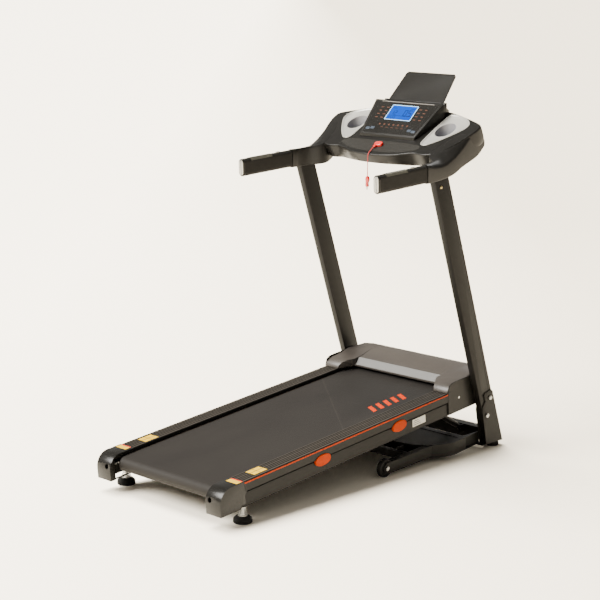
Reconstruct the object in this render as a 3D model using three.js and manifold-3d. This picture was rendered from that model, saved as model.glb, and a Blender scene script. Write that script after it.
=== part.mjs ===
// Folding home treadmill.
// +Y is the way the runner faces, +X the runner's right, +Z up, in millimetres, with the floor at z = 0.
// The drawing below measures y from the rear end caps. The last line moves the origin to the middle.
import * as THREE from 'three';
import { mergeVertices } from 'three/addons/utils/BufferGeometryUtils.js';
import Module from 'manifold-3d';

const wasm = await Module();
wasm.setup();

// ---------------------------------------------------------------- driving dimensions
const GAP = 0.3; // left between pieces that touch
const WALL = 2.5; // sheet and moulding thickness
const OVER = 5; // how far a cutting solid runs past what it cuts
const MIDDLE_Y = 725.0; // from the rear end caps to the origin

const DECK = {
  rearY: 5.2, rearZ: 44, incline: 5.55, // where the rear bottom edge stands, and the slope in degrees
  half: 306, top: 88, railDrop: 34, railIn: 240, railRear: 112, railFront: 1250,
  tubeIn: 277, tubeOut: 302, tubeTop: 50, tubeRear: 29, tubeFront: 1400,
};
const BELT = { half: 228, thick: 2, rear: 60, front: 1250, axis: 50, rollerR: 23, axleR: 7.5 };
const BOARD = { half: 262, rear: 92, front: 1212, low: 55.3, high: 73 };
const PIVOT = { v: 1345, w: 25, radius: 8 }; // the fold pivot, in the deck's own frame
const LUG = { x: 195, v: 1212.2, w: -15.3, pinR: 4 }; // where the fold strut meets the deck
const MOTOR = { v: 1340, w: 70, radius: 42, left: -216, right: -46, shaftR: 6 };
const PULLEY = { left: -259, right: -245, rollerR: 30, motorR: 13, belt: 2 };
const UPRIGHT = { xIn: 310.5, xOut: 336.5, rearY: 1376.5, lean: 0.351, depth: 79, low: 20.6, high: 1050, wall: 2 };
const BASE = {
  low: 17, high: 65, tubeX: 321.5, tubeHalf: 15.5, bendY: 1165, bendR: 130, tubeEnd: 1350,
  frontY: [1385, 1425], barY: [1222, 1252], armX: [281, 309], plate: 3,
};
const WHEEL = { x: 295, y: 816, radius: 33, width: 20, boltR: 4 };
const FOOT = { x: 289.5, y: 118, padR: 32, padH: 24, studR: 6, studTop: 74 };
const STRUT = { x: 195, baseY: 1368, baseZ: 56, tubeR: 11, rodR: 5 };
const HANDLE = { x: 325, rearY: 712, rearZ: 1055, frontY: 985, frontZ: 1070.5, wide: 28, tall: 64 };
const DASH = { y: 1138, z: 1158, slope: 28.8, thick: 6, deep: 80 }; // a point on the dash plane and its tilt
const CUP = { x: 213, y: 1216, radius: 39, wall: 2, floor: 1137 };
const TABLET = { y: 1300, z: 1281, lean: 48, half: [132, 118], tall: 139, thick: 4.5, pinR: 3 };
const KEY = { y: 1098, long: 36, wide: 24, high: 11 };
const CORD = { radius: 1.6, steps: 44 };

// ---------------------------------------------------------------- finishes
const LOOKS = {
  blackPaint: { color: 0x1b1a19, roughness: 0.42, metalness: 0.35 },
  blackPlastic: { color: 0x1f1e1d, roughness: 0.45, metalness: 0 },
  hoodPlastic: { color: 0x35322f, roughness: 0.55, metalness: 0 },
  rubber: { color: 0x131313, roughness: 0.85, metalness: 0 },
  beltPvc: { color: 0x252423, roughness: 0.8, metalness: 0 },
  wood: { color: 0x8a6a45, roughness: 0.7, metalness: 0 },
  steel: { color: 0xb9b9b7, roughness: 0.3, metalness: 1 },
  silver: { color: 0xb4b5b6, roughness: 0.35, metalness: 0.6 },
  foam: { color: 0x171717, roughness: 0.9, metalness: 0 },
  red: { color: 0xd3231b, roughness: 0.4, metalness: 0 },
  blue: { color: 0x1e7fe8, roughness: 0.2, metalness: 0 },
  motorPaint: { color: 0x2c2f33, roughness: 0.5, metalness: 0.6 },
  board: { color: 0x1f6b3a, roughness: 0.6, metalness: 0 },
};

// ---------------------------------------------------------------- drawing helpers
const X = new THREE.Vector3(1, 0, 0);
const Y = new THREE.Vector3(0, 1, 0);
const Z = new THREE.Vector3(0, 0, 1);
const rad = THREE.MathUtils.degToRad;

// A closed mesh as a solid for joining and cutting.
function solidOf(geometry) {
  geometry.deleteAttribute('normal');
  geometry.deleteAttribute('uv');
  const merged = mergeVertices(geometry, 1e-4);
  return new wasm.Manifold(new wasm.Mesh({
    numProp: 3,
    vertProperties: new Float32Array(merged.attributes.position.array),
    triVerts: new Uint32Array(merged.index.array),
  }));
}

function geometryOf(solid) {
  const { vertProperties, triVerts } = solid.getMesh();
  const geometry = new THREE.BufferGeometry();
  geometry.setAttribute('position', new THREE.BufferAttribute(vertProperties, 3));
  geometry.setIndex(new THREE.BufferAttribute(triVerts, 1));
  geometry.computeVertexNormals();
  return geometry;
}

const join = (...solids) => solids.reduce((a, b) => a.add(b));
const cut = (solid, ...tools) => tools.reduce((a, b) => a.subtract(b), solid);
const polygon = (points) => new THREE.Shape(points.map(([a, b]) => new THREE.Vector2(a, b)));

function roundedRect(width, height, radius, cx = 0, cy = 0) {
  const [w, h] = [width / 2 - radius, height / 2 - radius];
  const corners = [[w, h], [-w, h], [-w, -h], [w, -h]];
  const shape = new THREE.Shape();
  corners.forEach(([x, y], i) => {
    const start = (i * Math.PI) / 2;
    shape.absarc(cx + x, cy + y, radius, start, start + Math.PI / 2);
  });
  return shape;
}

// A shape drawn on the plane of u and v, and pulled along u x v from the origin given.
function prism(shape, depth, origin, u, v, curveSegments = 5) {
  const geometry = new THREE.ExtrudeGeometry(shape, { depth, bevelEnabled: false, curveSegments });
  const frame = new THREE.Matrix4().makeBasis(u, v, u.clone().cross(v)).setPosition(...origin);
  return solidOf(geometry.applyMatrix4(frame));
}

// Side view (y, z) pulled from x0 to x1; plan (x, y) from z0 to z1; rear view (x, z) from y0 to y1.
const sideView = (shape, x0, x1, segments) => prism(shape, x1 - x0, [x0, 0, 0], Y, Z, segments);
const planView = (shape, z0, z1, segments) => prism(shape, z1 - z0, [0, 0, z0], X, Y, segments);
const rearView = (shape, y0, y1, segments) => prism(shape, y1 - y0, [0, y1, 0], X, Z, segments);

function box([x0, x1], [y0, y1], [z0, z1]) {
  const geometry = new THREE.BoxGeometry(x1 - x0, y1 - y0, z1 - z0);
  return solidOf(geometry.translate((x0 + x1) / 2, (y0 + y1) / 2, (z0 + z1) / 2));
}

// A round bar between two points.
function bar(from, to, radius, sides = 16) {
  const [a, b] = [new THREE.Vector3(...from), new THREE.Vector3(...to)];
  const geometry = new THREE.CylinderGeometry(radius, radius, a.distanceTo(b), sides);
  const turn = new THREE.Quaternion().setFromUnitVectors(Y, b.clone().sub(a).normalize());
  const middle = a.add(b).multiplyScalar(0.5);
  return solidOf(geometry.applyQuaternion(turn).translate(middle.x, middle.y, middle.z));
}

// A turned piece: the profile is [radius, distance along the axis] from the place given.
function turned(profile, place, axis, sides = 20) {
  const geometry = new THREE.LatheGeometry(profile.map(([r, d]) => new THREE.Vector2(r, d)), sides);
  const turn = new THREE.Quaternion().setFromUnitVectors(Y, axis);
  return solidOf(geometry.applyQuaternion(turn).translate(...place));
}

// The outline of a band round two circles, drawn on the side view.
function bandOutline(rear, rearR, front, frontR) {
  const [dy, dz] = [front[0] - rear[0], front[1] - rear[1]];
  const along = Math.atan2(dz, dy);
  const spread = Math.acos((rearR - frontR) / Math.hypot(dy, dz));
  const shape = new THREE.Shape();
  shape.absarc(rear[0], rear[1], rearR, along + spread, along + 2 * Math.PI - spread);
  shape.absarc(front[0], front[1], frontR, along - spread, along + spread);
  return shape;
}

const both = (make) => [['left', -1], ['right', 1]].forEach(([side, sign]) => make(side, sign));
const ordered = (sign, a, b) => (sign > 0 ? [a, b] : [-b, -a]);

// ---------------------------------------------------------------- where things stand
const treadmill = new THREE.Group();
const base = new THREE.Group();
const deck = new THREE.Group();
const TILT = rad(DECK.incline);
deck.rotation.x = TILT;
deck.position.set(0, DECK.rearY, DECK.rearZ);
base.add(deck);
treadmill.add(base);
base.position.y = -MIDDLE_Y;

// A place in the deck's own frame, as y and z on the floor's.
const deckPoint = (v, w) => [
  DECK.rearY + v * Math.cos(TILT) - w * Math.sin(TILT),
  DECK.rearZ + v * Math.sin(TILT) + w * Math.cos(TILT),
];

function add(group, name, look, solid) {
  const mesh = new THREE.Mesh(geometryOf(solid), new THREE.MeshStandardMaterial(LOOKS[look]));
  mesh.name = name;
  group.add(mesh);
}

// ================================================================ base and uprights
// The bent tube's plan: two legs running back from the uprights and a cross run behind them.
function bentPlan(half, endY) {
  const { tubeX, bendY, bendR } = BASE;
  const centreX = tubeX - bendR;
  const quarter = Math.PI / 2;
  const shape = new THREE.Shape();
  shape.moveTo(tubeX + half, endY);
  shape.absarc(centreX, bendY, bendR + half, 0, -quarter, true);
  shape.absarc(-centreX, bendY, bendR + half, -quarter, -2 * quarter, true);
  shape.lineTo(-tubeX - half, endY);
  shape.lineTo(-tubeX + half, endY);
  shape.absarc(-centreX, bendY, bendR - half, -2 * quarter, -quarter, false);
  shape.absarc(centreX, bendY, bendR - half, -quarter, 0, false);
  shape.lineTo(tubeX - half, endY);
  return shape;
}

function bentTube() {
  const { low, high, tubeHalf, tubeEnd } = BASE;
  const outer = planView(bentPlan(tubeHalf, tubeEnd), low, high, 8);
  const inner = planView(bentPlan(tubeHalf - WALL, tubeEnd + OVER), low + WALL, high - WALL, 8);
  return cut(outer, inner);
}

// A channel open below, running along X.
function crossChannel([x0, x1], [y0, y1], [z0, z1]) {
  const hollow = box([x0 - OVER, x1 + OVER], [y0 + WALL, y1 - WALL], [z0 - OVER, z1 - WALL]);
  return cut(box([x0, x1], [y0, y1], [z0, z1]), hollow);
}

// An arm runs back from the bend, dips a little, and forks round its wheel.
function wheelArm(sign) {
  const [x0, x1] = ordered(sign, ...BASE.armX);
  const [weldY, weldZ, tall] = [1065, 44, 40];
  const slope = (weldZ - WHEEL.radius) / (weldY - WHEEL.y);
  const endY = WHEEL.y - 14;
  const endZ = WHEEL.radius - slope * 14;
  const side = polygon([
    [weldY, weldZ - tall / 2], [weldY, weldZ + tall / 2], [endY + 12, endZ + tall / 2],
    [endY, endZ + tall / 2 - 12], [endY, endZ - tall / 2 + 12], [endY + 12, endZ - tall / 2],
  ]);
  const hollow = polygon([
    [weldY + OVER, weldZ - tall], [weldY + OVER, weldZ + tall / 2 - WALL],
    [endY - OVER, endZ + tall / 2 - WALL], [endY - OVER, endZ - tall],
  ]);
  const wheelRoom = WHEEL.radius + 5;
  return cut(
    sideView(side, x0, x1),
    sideView(hollow, x0 + BASE.plate, x1 - BASE.plate),
    box([x0 + BASE.plate, x1 - BASE.plate], [endY - OVER, WHEEL.y + wheelRoom], [0, 100]),
    bar([x0 - OVER, WHEEL.y, WHEEL.radius], [x1 + OVER, WHEEL.y, WHEEL.radius], WHEEL.boltR + GAP),
  );
}

// The cheek plates that hold an upright, with a stepped rear edge, and the plate under its foot.
const uprightRearAt = (z) => UPRIGHT.rearY - UPRIGHT.lean * z;
const boltSpots = [[uprightRearAt(198) + 57, 198], [uprightRearAt(131) + 19, 131]];
function cheekOutline(highZ) {
  const front = (z) => uprightRearAt(z) + UPRIGHT.depth + 2;
  return polygon([
    [1352, BASE.low], [front(BASE.low), BASE.low], [front(highZ - 8), highZ - 8], [front(highZ) - 6, highZ],
    [1333, highZ - 9], [1329, highZ - 18], [1338, 186], [1323, 168], [1322, 152],
  ]);
}
function cheeks(sign) {
  const { xIn, xOut } = UPRIGHT;
  const outer = ordered(sign, xOut + GAP, xOut + GAP + BASE.plate);
  const inner = ordered(sign, xIn - GAP - BASE.plate, xIn - GAP);
  const span = ordered(sign, xIn - GAP - BASE.plate, xOut + GAP + BASE.plate);
  const [pivotY, pivotZ] = deckPoint(PIVOT.v, PIVOT.w);
  const reach = (xs, y, z, r) => bar([xs[0] - 1, y, z], [xs[1] + 1, y, z], r);
  return join(
    cut(sideView(cheekOutline(228), ...outer), ...boltSpots.map(([y, z]) => reach(outer, y, z, 4 + GAP))),
    cut(sideView(cheekOutline(232), ...inner), reach(inner, pivotY, pivotZ, PIVOT.radius + GAP)),
    box(span, [1330, 1446], [BASE.low, BASE.low + BASE.plate]),
  );
}

// Two ears and a pin hold the lower end of the fold strut to the front cross channel.
function strutEars() {
  const { x, baseY, baseZ } = STRUT;
  const ear = polygon([[1386, 34], [1386, 64], [baseY, baseZ + 9], [baseY - 9, baseZ], [baseY, baseZ - 9]]);
  return join(
    sideView(ear, x - 11, x - 7),
    sideView(ear, x + 7, x + 11),
    bar([x - 10, baseY, baseZ], [x + 10, baseY, baseZ], 4, 12),
  );
}

function baseFrame() {
  const { low, high, frontY, barY } = BASE;
  const gusset = (sign) => box(ordered(sign, 112, 308), [1050, barY[0] + 1], [high - 5, high - 2]);
  return join(
    bentTube(),
    crossChannel([-308, 308], frontY, [low, high]),
    box([-308, 308], barY, [high - 6, high]),
    crossChannel([-282, 282], [942, 968], [30, 56]),
    box([232, 238], [960, 992], [32, 68]),
    strutEars(),
    ...[-1, 1].flatMap((sign) => [wheelArm(sign), cheeks(sign), gusset(sign)]),
  );
}

// A leaning rectangular tube, cut level at both ends.
function uprightTube(sign) {
  const { xIn, xOut, depth, low, high, wall } = UPRIGHT;
  const face = (inset, past) => polygon([
    [uprightRearAt(low - past) + inset, low - past], [uprightRearAt(low - past) + depth - inset, low - past],
    [uprightRearAt(high + past) + depth - inset, high + past], [uprightRearAt(high + past) + inset, high + past],
  ]);
  const [x0, x1] = ordered(sign, xIn, xOut);
  const outside = ordered(sign, xOut - OVER, xOut + OVER);
  return cut(
    sideView(face(0, 0), x0, x1),
    sideView(face(wall, OVER), x0 + wall, x1 - wall),
    ...boltSpots.map(([y, z]) => bar([outside[0], y, z], [outside[1], y, z], 4 + GAP)),
  );
}

// Two bolts screwed into one nut strip inside the upright.
function uprightBolts(sign) {
  const outer = sign * (UPRIGHT.xOut + GAP + BASE.plate);
  const strip = ordered(sign, UPRIGHT.xOut - 8, UPRIGHT.xOut - 4);
  const [[y0, z0], [y1, z1]] = boltSpots;
  const plate = polygon([[y1 - 8, z1 - 10], [y1 + 10, z1 - 10], [y0 + 8, z0 + 10], [y0 - 10, z0 + 10]]);
  const bolts = boltSpots.flatMap(([y, z]) => [
    bar([sign * (UPRIGHT.xOut - 6), y, z], [outer + sign, y, z], 4, 12),
    bar([outer + sign * GAP, y, z], [outer + sign * 4.5, y, z], 8, 18),
  ]);
  return join(sideView(plate, ...strip), ...bolts);
}

function pivotBolt(sign) {
  const [y, z] = deckPoint(PIVOT.v, PIVOT.w);
  const at = (x) => [sign * x, y, z];
  return join(
    bar(at(DECK.tubeIn - 2), at(UPRIGHT.xIn - GAP), PIVOT.radius, 24),
    bar(at(DECK.tubeIn - 6), at(DECK.tubeIn - GAP), PIVOT.radius + 4, 20),
  );
}

const frontFoot = (sign) => turned(
  [[0, 0], [23, 0], [25, 3], [25, 12], [22, BASE.low - GAP], [0, BASE.low - GAP]],
  [sign * 318, 1416, 0], Z,
);

function wheel(sign) {
  const { radius, width, boltR, x, y } = WHEEL;
  const [half, bore] = [width / 2, boltR + 0.5];
  const profile = [
    [bore, -half], [12, -half], [14, 3 - half], [radius - 8, 3 - half], [radius - 4, -half], [radius, 4 - half],
    [radius, half - 4], [radius - 4, half], [radius - 8, half - 3], [14, half - 3], [12, half], [bore, half],
    [bore, -half],
  ];
  return turned(profile, [sign * x, y, radius], X, 28);
}

function wheelBolt(sign) {
  const { y, radius, boltR } = WHEEL;
  const [inner, outer] = BASE.armX;
  const at = (x) => [sign * x, y, radius];
  return join(
    bar(at(inner - 4), at(outer + 2), boltR, 16),
    bar(at(outer + GAP), at(outer + 4), boltR + 4, 18),
    bar(at(inner - 6), at(inner - GAP), boltR + 3, 6),
  );
}

// ================================================================ fold strut
const strutEnd = deckPoint(LUG.v, LUG.w);
const strutLine = new THREE.Vector3(0, strutEnd[0] - STRUT.baseY, strutEnd[1] - STRUT.baseZ);
const strutLength = strutLine.length();
const strutWay = strutLine.clone().normalize();
const alongStrut = (d) => [STRUT.x, STRUT.baseY + strutWay.y * d, STRUT.baseZ + strutWay.z * d];

function strutCylinder() {
  const [y, z] = [STRUT.baseY, STRUT.baseZ];
  const eye = bar([STRUT.x - 6, y, z], [STRUT.x + 6, y, z], 9, 18);
  const body = turned([[0, 6], [6.5, 6], [6.5, 12], [STRUT.tubeR, 18], [STRUT.tubeR, 148], [9, 150], [5.6, 150], [5.6, 20],
    [0, 20]], [STRUT.x, y, z], strutWay, 18);
  return cut(join(eye, body), bar([STRUT.x - 20, y, z], [STRUT.x + 20, y, z], 4.5, 18));
}

// The rod ends in a wide ring round the deck's pin: the pin has room to wander inside it.
function strutRod() {
  const [x, y, z] = alongStrut(strutLength);
  const ring = (r, half) => bar([x - half, y, z], [x + half, y, z], r, 20);
  const rod = bar(alongStrut(24), alongStrut(strutLength - 13), STRUT.rodR, 14);
  return cut(join(rod, ring(16, 5)), ring(12.5, 9));
}

// ================================================================ deck
// A hollow side tube, an end plate behind it, and its holes for the fold pivot and the foot.
function sideTube(sign) {
  const { tubeIn, tubeOut, tubeTop, tubeRear, tubeFront } = DECK;
  const [width, cx] = [tubeOut - tubeIn, (sign * (tubeIn + tubeOut)) / 2];
  const outer = rearView(roundedRect(width, tubeTop, 4, cx, tubeTop / 2), tubeRear, tubeFront, 3);
  const hollow = rearView(roundedRect(width - 4, tubeTop - 4, 2.5, cx, tubeTop / 2), tubeRear - 1, tubeFront + 1, 3);
  const plate = box(ordered(sign, 246, tubeOut), [tubeRear - 4, tubeRear + 0.5], [34, 66]);
  const boltHole = bar([sign * AXLE_BOLT.x, 0, BELT.axis], [sign * AXLE_BOLT.x, 50, BELT.axis], 4 + GAP, 16);
  const pivot = bar([cx - 30, PIVOT.v, PIVOT.w], [cx + 30, PIVOT.v, PIVOT.w], PIVOT.radius + 0.4, 24);
  const footV = (FOOT.y - DECK.rearY) / Math.cos(TILT);
  const foot = bar([sign * FOOT.x, footV, -OVER], [sign * FOOT.x, footV, 10], FOOT.studR + 2, 20);
  return join(cut(outer, hollow, pivot, foot), cut(plate, boltHole));
}

// Two cheeks and a pin under a low cross channel take the upper end of the fold strut.
function deckLug() {
  const { x, v, w, pinR } = LUG;
  const cheek = polygon([[v - 16, 3], [v + 16, 3], [v + 12, w - 4], [v, w - 12], [v - 12, w - 4]]);
  return join(
    crossChannel([-DECK.tubeIn - 1, DECK.tubeIn + 1], [v - 16, v + 16], [0, 21]),
    sideView(cheek, x - 12, x - 8),
    sideView(cheek, x + 8, x + 12),
    bar([x - 10, v, w], [x + 10, v, w], pinR, 12),
  );
}

const INLET = { x: [176, 204], z: [22, 44] };
const SWITCH = { x: [222, 244], z: [22, 44] };
function motorBay() {
  const { tubeIn, tubeFront } = DECK;
  const span = [-tubeIn - 1, tubeIn + 1];
  const front = box(span, [tubeFront - 3, tubeFront], [0, 60]);
  const openings = [INLET, SWITCH].map(({ x, z }) => box(x, [tubeFront - 10, tubeFront + 10], z));
  return join(cut(front, ...openings), box(span, [1292, tubeFront - 2], [10, 12.5]));
}

function deckFrame() {
  const span = [-DECK.tubeIn - 1, DECK.tubeIn + 1];
  const members = [180, 500, 820, 1140].map((v) => crossChannel(span, [v, v + 30], [30, BOARD.low - GAP]));
  return join(sideTube(-1), sideTube(1), deckLug(), motorBay(), ...members);
}

const bandRing = (rear, rearR, front, frontR, thick, xs, segments) => cut(
  sideView(bandOutline(rear, rearR + GAP + thick, front, frontR + GAP + thick), ...xs, segments),
  sideView(bandOutline(rear, rearR + GAP, front, frontR + GAP), xs[0] - 1, xs[1] + 1, segments),
);
const runningBelt = () => bandRing(
  [BELT.rear, BELT.axis], BELT.rollerR, [BELT.front, BELT.axis], BELT.rollerR, BELT.thick,
  [-BELT.half, BELT.half], 12,
);
const driveBelt = () => bandRing(
  [BELT.front, BELT.axis], PULLEY.rollerR, [MOTOR.v, MOTOR.w], PULLEY.motorR, PULLEY.belt,
  [PULLEY.left + 1, PULLEY.right - 1], 12,
);

// A roller is a steel tube with a bearing plug in each end. The front one carries the driven pulley.
function roller(v, withPulley) {
  const [half, bore, skin] = [BELT.half + 5, BELT.axleR + 0.4, BELT.rollerR - 2.5];
  const profile = [
    [bore, -half], [21, -half], [BELT.rollerR, 2 - half], [BELT.rollerR, half - 2], [21, half], [bore, half],
    [bore, half - 14], [skin, half - 14], [skin, 14 - half], [bore, 14 - half], [bore, -half],
  ];
  const body = turned(profile, [0, v, BELT.axis], X, 24);
  if (!withPulley) return body;
  const wheelRim = bar([PULLEY.left, v, BELT.axis], [PULLEY.right, v, BELT.axis], PULLEY.rollerR, 28);
  const hub = bar([PULLEY.right - 1, v, BELT.axis], [1 - half, v, BELT.axis], 16, 20);
  const boreCut = bar([PULLEY.left - 1, v, BELT.axis], [2 - half, v, BELT.axis], bore, 24);
  return join(body, cut(join(wheelRim, hub), boreCut));
}

// The rear axle is drilled for the two bolts that set the belt's tension.
const AXLE_BOLT = { x: 256 };
function axle(v, drilled) {
  const reach = DECK.tubeIn - GAP;
  const rod = bar([-reach, v, BELT.axis], [reach, v, BELT.axis], BELT.axleR, 16);
  const holes = [-1, 1].map((s) => {
    const x = s * AXLE_BOLT.x;
    return bar([x, v - 20, BELT.axis], [x, v + 20, BELT.axis], 4 + GAP, 16);
  });
  return drilled ? cut(rod, ...holes) : rod;
}

function tensionBolt(sign) {
  const x = sign * AXLE_BOLT.x;
  const at = (v) => [x, v, BELT.axis];
  const seat = DECK.tubeRear - 4 - GAP;
  return join(bar(at(seat - 3), at(BELT.rear + 14), 4, 14), bar(at(seat - 7), at(seat), 7, 6));
}

function motor() {
  const { v, w, radius, left, right, shaftR } = MOTOR;
  const seat = 12.5 + GAP;
  const at = (x) => [x, v, w];
  const can = join(bar(at(left + 12), at(right - 12), radius, 28), bar(at(left), at(right), radius - 5, 28));
  const cradle = box([left + 30, right - 30], [v - 30, v + 30], [seat, w - 20]);
  return cut(join(can, cradle), bar(at(left - 1), at(right - 20), shaftR + 0.4, 14));
}

function motorRotor() {
  const { v, w, left, right, shaftR } = MOTOR;
  const at = (x) => [x, v, w];
  return join(
    bar(at(PULLEY.left - 2), at(right - 24), shaftR, 14),
    bar(at(PULLEY.left), at(PULLEY.right), PULLEY.motorR, 18),
    bar(at(PULLEY.right + 3), at(left - 4), 40, 28),
  );
}

function controller() {
  const ribs = [0, 1, 2, 3, 4, 5].map((i) => box([34 + i * 22, 38 + i * 22], [1305, 1385], [40, 62]));
  return join(box([20, 164], [1300, 1390], [12.5 + GAP, 42]), ...ribs);
}

// The foot rail: a ribbed top, a deep outer skirt, a short inner lip and a leg on the frame tube.
function footRail(sign) {
  const { railIn, half, top, railDrop, railRear, railFront, tubeTop } = DECK;
  const [skin, ribs, ribHigh] = [3.5, 5, 1.5];
  const pitch = (half - railIn - 12) / ribs;
  const outline = [[half, top - railDrop], [half, top - 4], [half - 4, top]];
  for (let i = 0; i < ribs; i += 1) {
    const x = half - 8 - i * pitch;
    outline.push([x, top], [x - 1.5, top - ribHigh], [x - pitch + 3, top - ribHigh], [x - pitch + 1.5, top]);
  }
  outline.push([railIn + 2, top], [railIn, top - 2], [railIn, top - 10], [railIn + 2.5, top - 10]);
  outline.push([railIn + 2.5, top - 2 - skin], [290, top - 2 - skin], [290, tubeTop + GAP]);
  outline.push([294, tubeTop + GAP], [294, top - 2 - skin], [half - skin, top - 2 - skin]);
  outline.push([half - skin, top - railDrop]);
  const shape = polygon(outline.map(([x, w]) => [sign * x, w]));
  return rearView(shape, railRear, railFront);
}

// An end cap: a moulded shell with a quarter-round top, open in front and cut away towards the belt.
const CAP = { round: 50, skin: 3, wallIn: 237 };
function capSide(inset, frontV) {
  const { top } = DECK;
  const shape = new THREE.Shape();
  shape.moveTo(inset, inset);
  shape.lineTo(frontV, inset);
  shape.lineTo(frontV, top - inset);
  shape.absarc(CAP.round, top - CAP.round, CAP.round - inset, Math.PI / 2, Math.PI, false);
  return shape;
}
function endCap(sign) {
  const front = DECK.railRear - GAP;
  const x = sign * AXLE_BOLT.x;
  return cut(
    sideView(capSide(0, front), ...ordered(sign, CAP.wallIn, DECK.half), 8),
    sideView(capSide(CAP.skin, front + 1), ...ordered(sign, CAP.wallIn + CAP.skin, DECK.half - CAP.skin), 8),
    box(ordered(sign, CAP.wallIn - 1, CAP.wallIn + CAP.skin + 1), [22, front + 1], [-1, DECK.top - 14]),
    box(ordered(sign, DECK.tubeIn - 31, DECK.tubeOut + GAP), [DECK.tubeRear - 1, front + 1], [-1, CAP.skin + 1]),
    bar([x, -1, BELT.axis], [x, 8, BELT.axis], 9, 20),
    bar([sign * FOOT.x, 112, -1], [sign * FOOT.x, 112, 12], FOOT.padR - 6, 20),
  );
}

// The motor hood: a sloped middle between two wings over the front of the foot rails.
function hoodOutline(inset) {
  const middlePlan = [[205 - inset, 1224 + inset], [240 - inset, 1262], [240 - inset, 1352], [200, 1405 - inset]];
  const middle = planView(polygon(middlePlan.concat(middlePlan.map(([x, v]) => [-x, v]).reverse())), 0, 200);
  const middleSide = sideView(polygon([[1224, 48], [1224, 94], [1256 + inset, 117 - inset],
    [1357, 138 - inset], [1385, 132 - inset], [1405 - inset, 104], [1405 - inset, 48]]), -300, 300);
  const wingPlan = [[205 + inset, 1390], [205 + inset, 1224 + inset], [239 + inset, 1162 + inset],
    [303 - inset, 1162 + inset], [303 - inset, 1300], [236 - inset, 1405 - inset], [222, 1405 - inset]];
  const wing = (sign) => planView(polygon(wingPlan.map(([x, v]) => [sign * x, v])), 0, 200);
  const wingSide = sideView(polygon([[1162, 48], [1162, 90], [1167 + inset, 101 - inset],
    [1179 + inset, 110 - inset], [1200 + inset, 116.5 - inset], [1258, 119.4 - inset], [1357, 138 - inset],
    [1385, 132 - inset], [1405 - inset, 104], [1405 - inset, 48]]), -304, 304);
  return join(middle.intersect(middleSide), join(wing(-1), wing(1)).intersect(wingSide));
}
function motorHood() {
  const { top, railFront, tubeTop } = DECK;
  const reach = [-320, 320];
  return cut(
    hoodOutline(0),
    hoodOutline(WALL),
    box(reach, [1150, railFront + 1], [0, top + GAP]),
    box(reach, [railFront, 1410], [0, tubeTop + GAP]),
    box([-280, 280], [DECK.tubeFront - 4, 1410], [0, 62]),
  );
}

function bellyPan() {
  const slots = [-3, -2, -1, 0, 1, 2, 3].map((i) => box([i * 60 - 20, i * 60 + 20], [1300, 1306], [-10, 0]));
  const lips = [-1, 1].map((s) => box(ordered(s, 266, 270), [1250, 1396], [-8, -GAP]));
  return cut(join(box([-270, 270], [1240, 1396], [-GAP - WALL, -GAP]), ...lips), ...slots);
}

function powerInlet() {
  const { x: [x0, x1], z: [z0, z1] } = INLET;
  const front = DECK.tubeFront;
  const body = box([x0 + GAP, x1 - GAP], [front - 22, front + 2], [z0 + GAP, z1 - GAP]);
  const flange = box([x0 - 6, x1 + 6], [front + GAP, front + 3], [z0 - 3, z1 + 3]);
  return cut(join(body, flange), box([x0 + 4, x1 - 4], [front - 14, front + 4], [z0 + 4, z1 - 4]));
}

// The rocker turns on the middle of a socket that is open towards the front.
function switchSocket() {
  const { x: [x0, x1], z: [z0, z1] } = SWITCH;
  const front = DECK.tubeFront;
  const body = box([x0 + GAP, x1 - GAP], [front - 16, front + 3], [z0 + GAP, z1 - GAP]);
  return cut(body, box([x0 + 2, x1 - 2], [front - 13, front + 4], [z0 + 2, z1 - 2]));
}
function switchRocker() {
  const { x: [x0, x1], z: [z0, z1] } = SWITCH;
  const [front, mid] = [DECK.tubeFront, (z0 + z1) / 2];
  const face = polygon([[front - 8, mid - 6], [front + 1, mid - 7.6], [front + 3, mid], [front + 5.5, mid + 7],
    [front - 8, mid + 6]]);
  return sideView(face, x0 + 2.6, x1 - 2.6);
}

// The rear foot stands plumb while the deck slopes: a rubber pad, and a stud with a coned collar.
const rearFoot = (sign) => turned(
  [[0, 0], [FOOT.padR - 2, 0], [FOOT.padR, 3], [FOOT.padR, 15], [FOOT.padR - 7, FOOT.padH - 1],
    [FOOT.padR - 10, FOOT.padH], [0, FOOT.padH]],
  [sign * FOOT.x, FOOT.y, 0], Z, 28,
);
const footStud = (sign) => turned(
  [[0, FOOT.padH + GAP], [17, FOOT.padH + GAP], [17, FOOT.padH + 4], [10, 50], [FOOT.studR, 50],
    [FOOT.studR, FOOT.studTop], [0, FOOT.studTop]],
  [sign * FOOT.x, FOOT.y, 0], Z, 20,
);

// ================================================================ console
const slopeWay = new THREE.Vector3(0, Math.cos(rad(DASH.slope)), Math.sin(rad(DASH.slope)));
const slopeUp = new THREE.Vector3().crossVectors(X, slopeWay);
const onSlope = (y) => (y - DASH.y) / slopeWay.y; // a plan distance as one along the slope
const dashZ = (y) => DASH.z + (y - DASH.y) * (slopeWay.z / slopeWay.y);

// A shape drawn on the dash plane, from low to high above it.
const dashPrism = (shape, low, high, segments) => prism(
  shape, high - low, [0, DASH.y + slopeUp.y * low, DASH.z + slopeUp.z * low], X, slopeWay, segments,
);

// The dash seen square on: a bowed rear rim, rounded shoulders and a waved front lip.
function dashOutline(inset) {
  const right = [
    [0, 1045 + inset], [60, 1048 + inset], [110, 1056 + inset], [152, 1070 + inset], [186, 1075 + inset],
    [232, 1070 + inset], [290 - inset, 1092], [318 - inset, 1142], [341 - inset, 1198], [348 - inset, 1240],
    [336 - inset, 1262 - inset], [270, 1284 - inset], [190, 1308 - inset], [90, 1325 - inset], [0, 1330 - inset],
  ].map(([x, y]) => [x, onSlope(y)]);
  const left = right.slice(1, -1).reverse().map(([x, s]) => [-x, s]);
  return polygon(right.concat(left));
}

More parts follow.
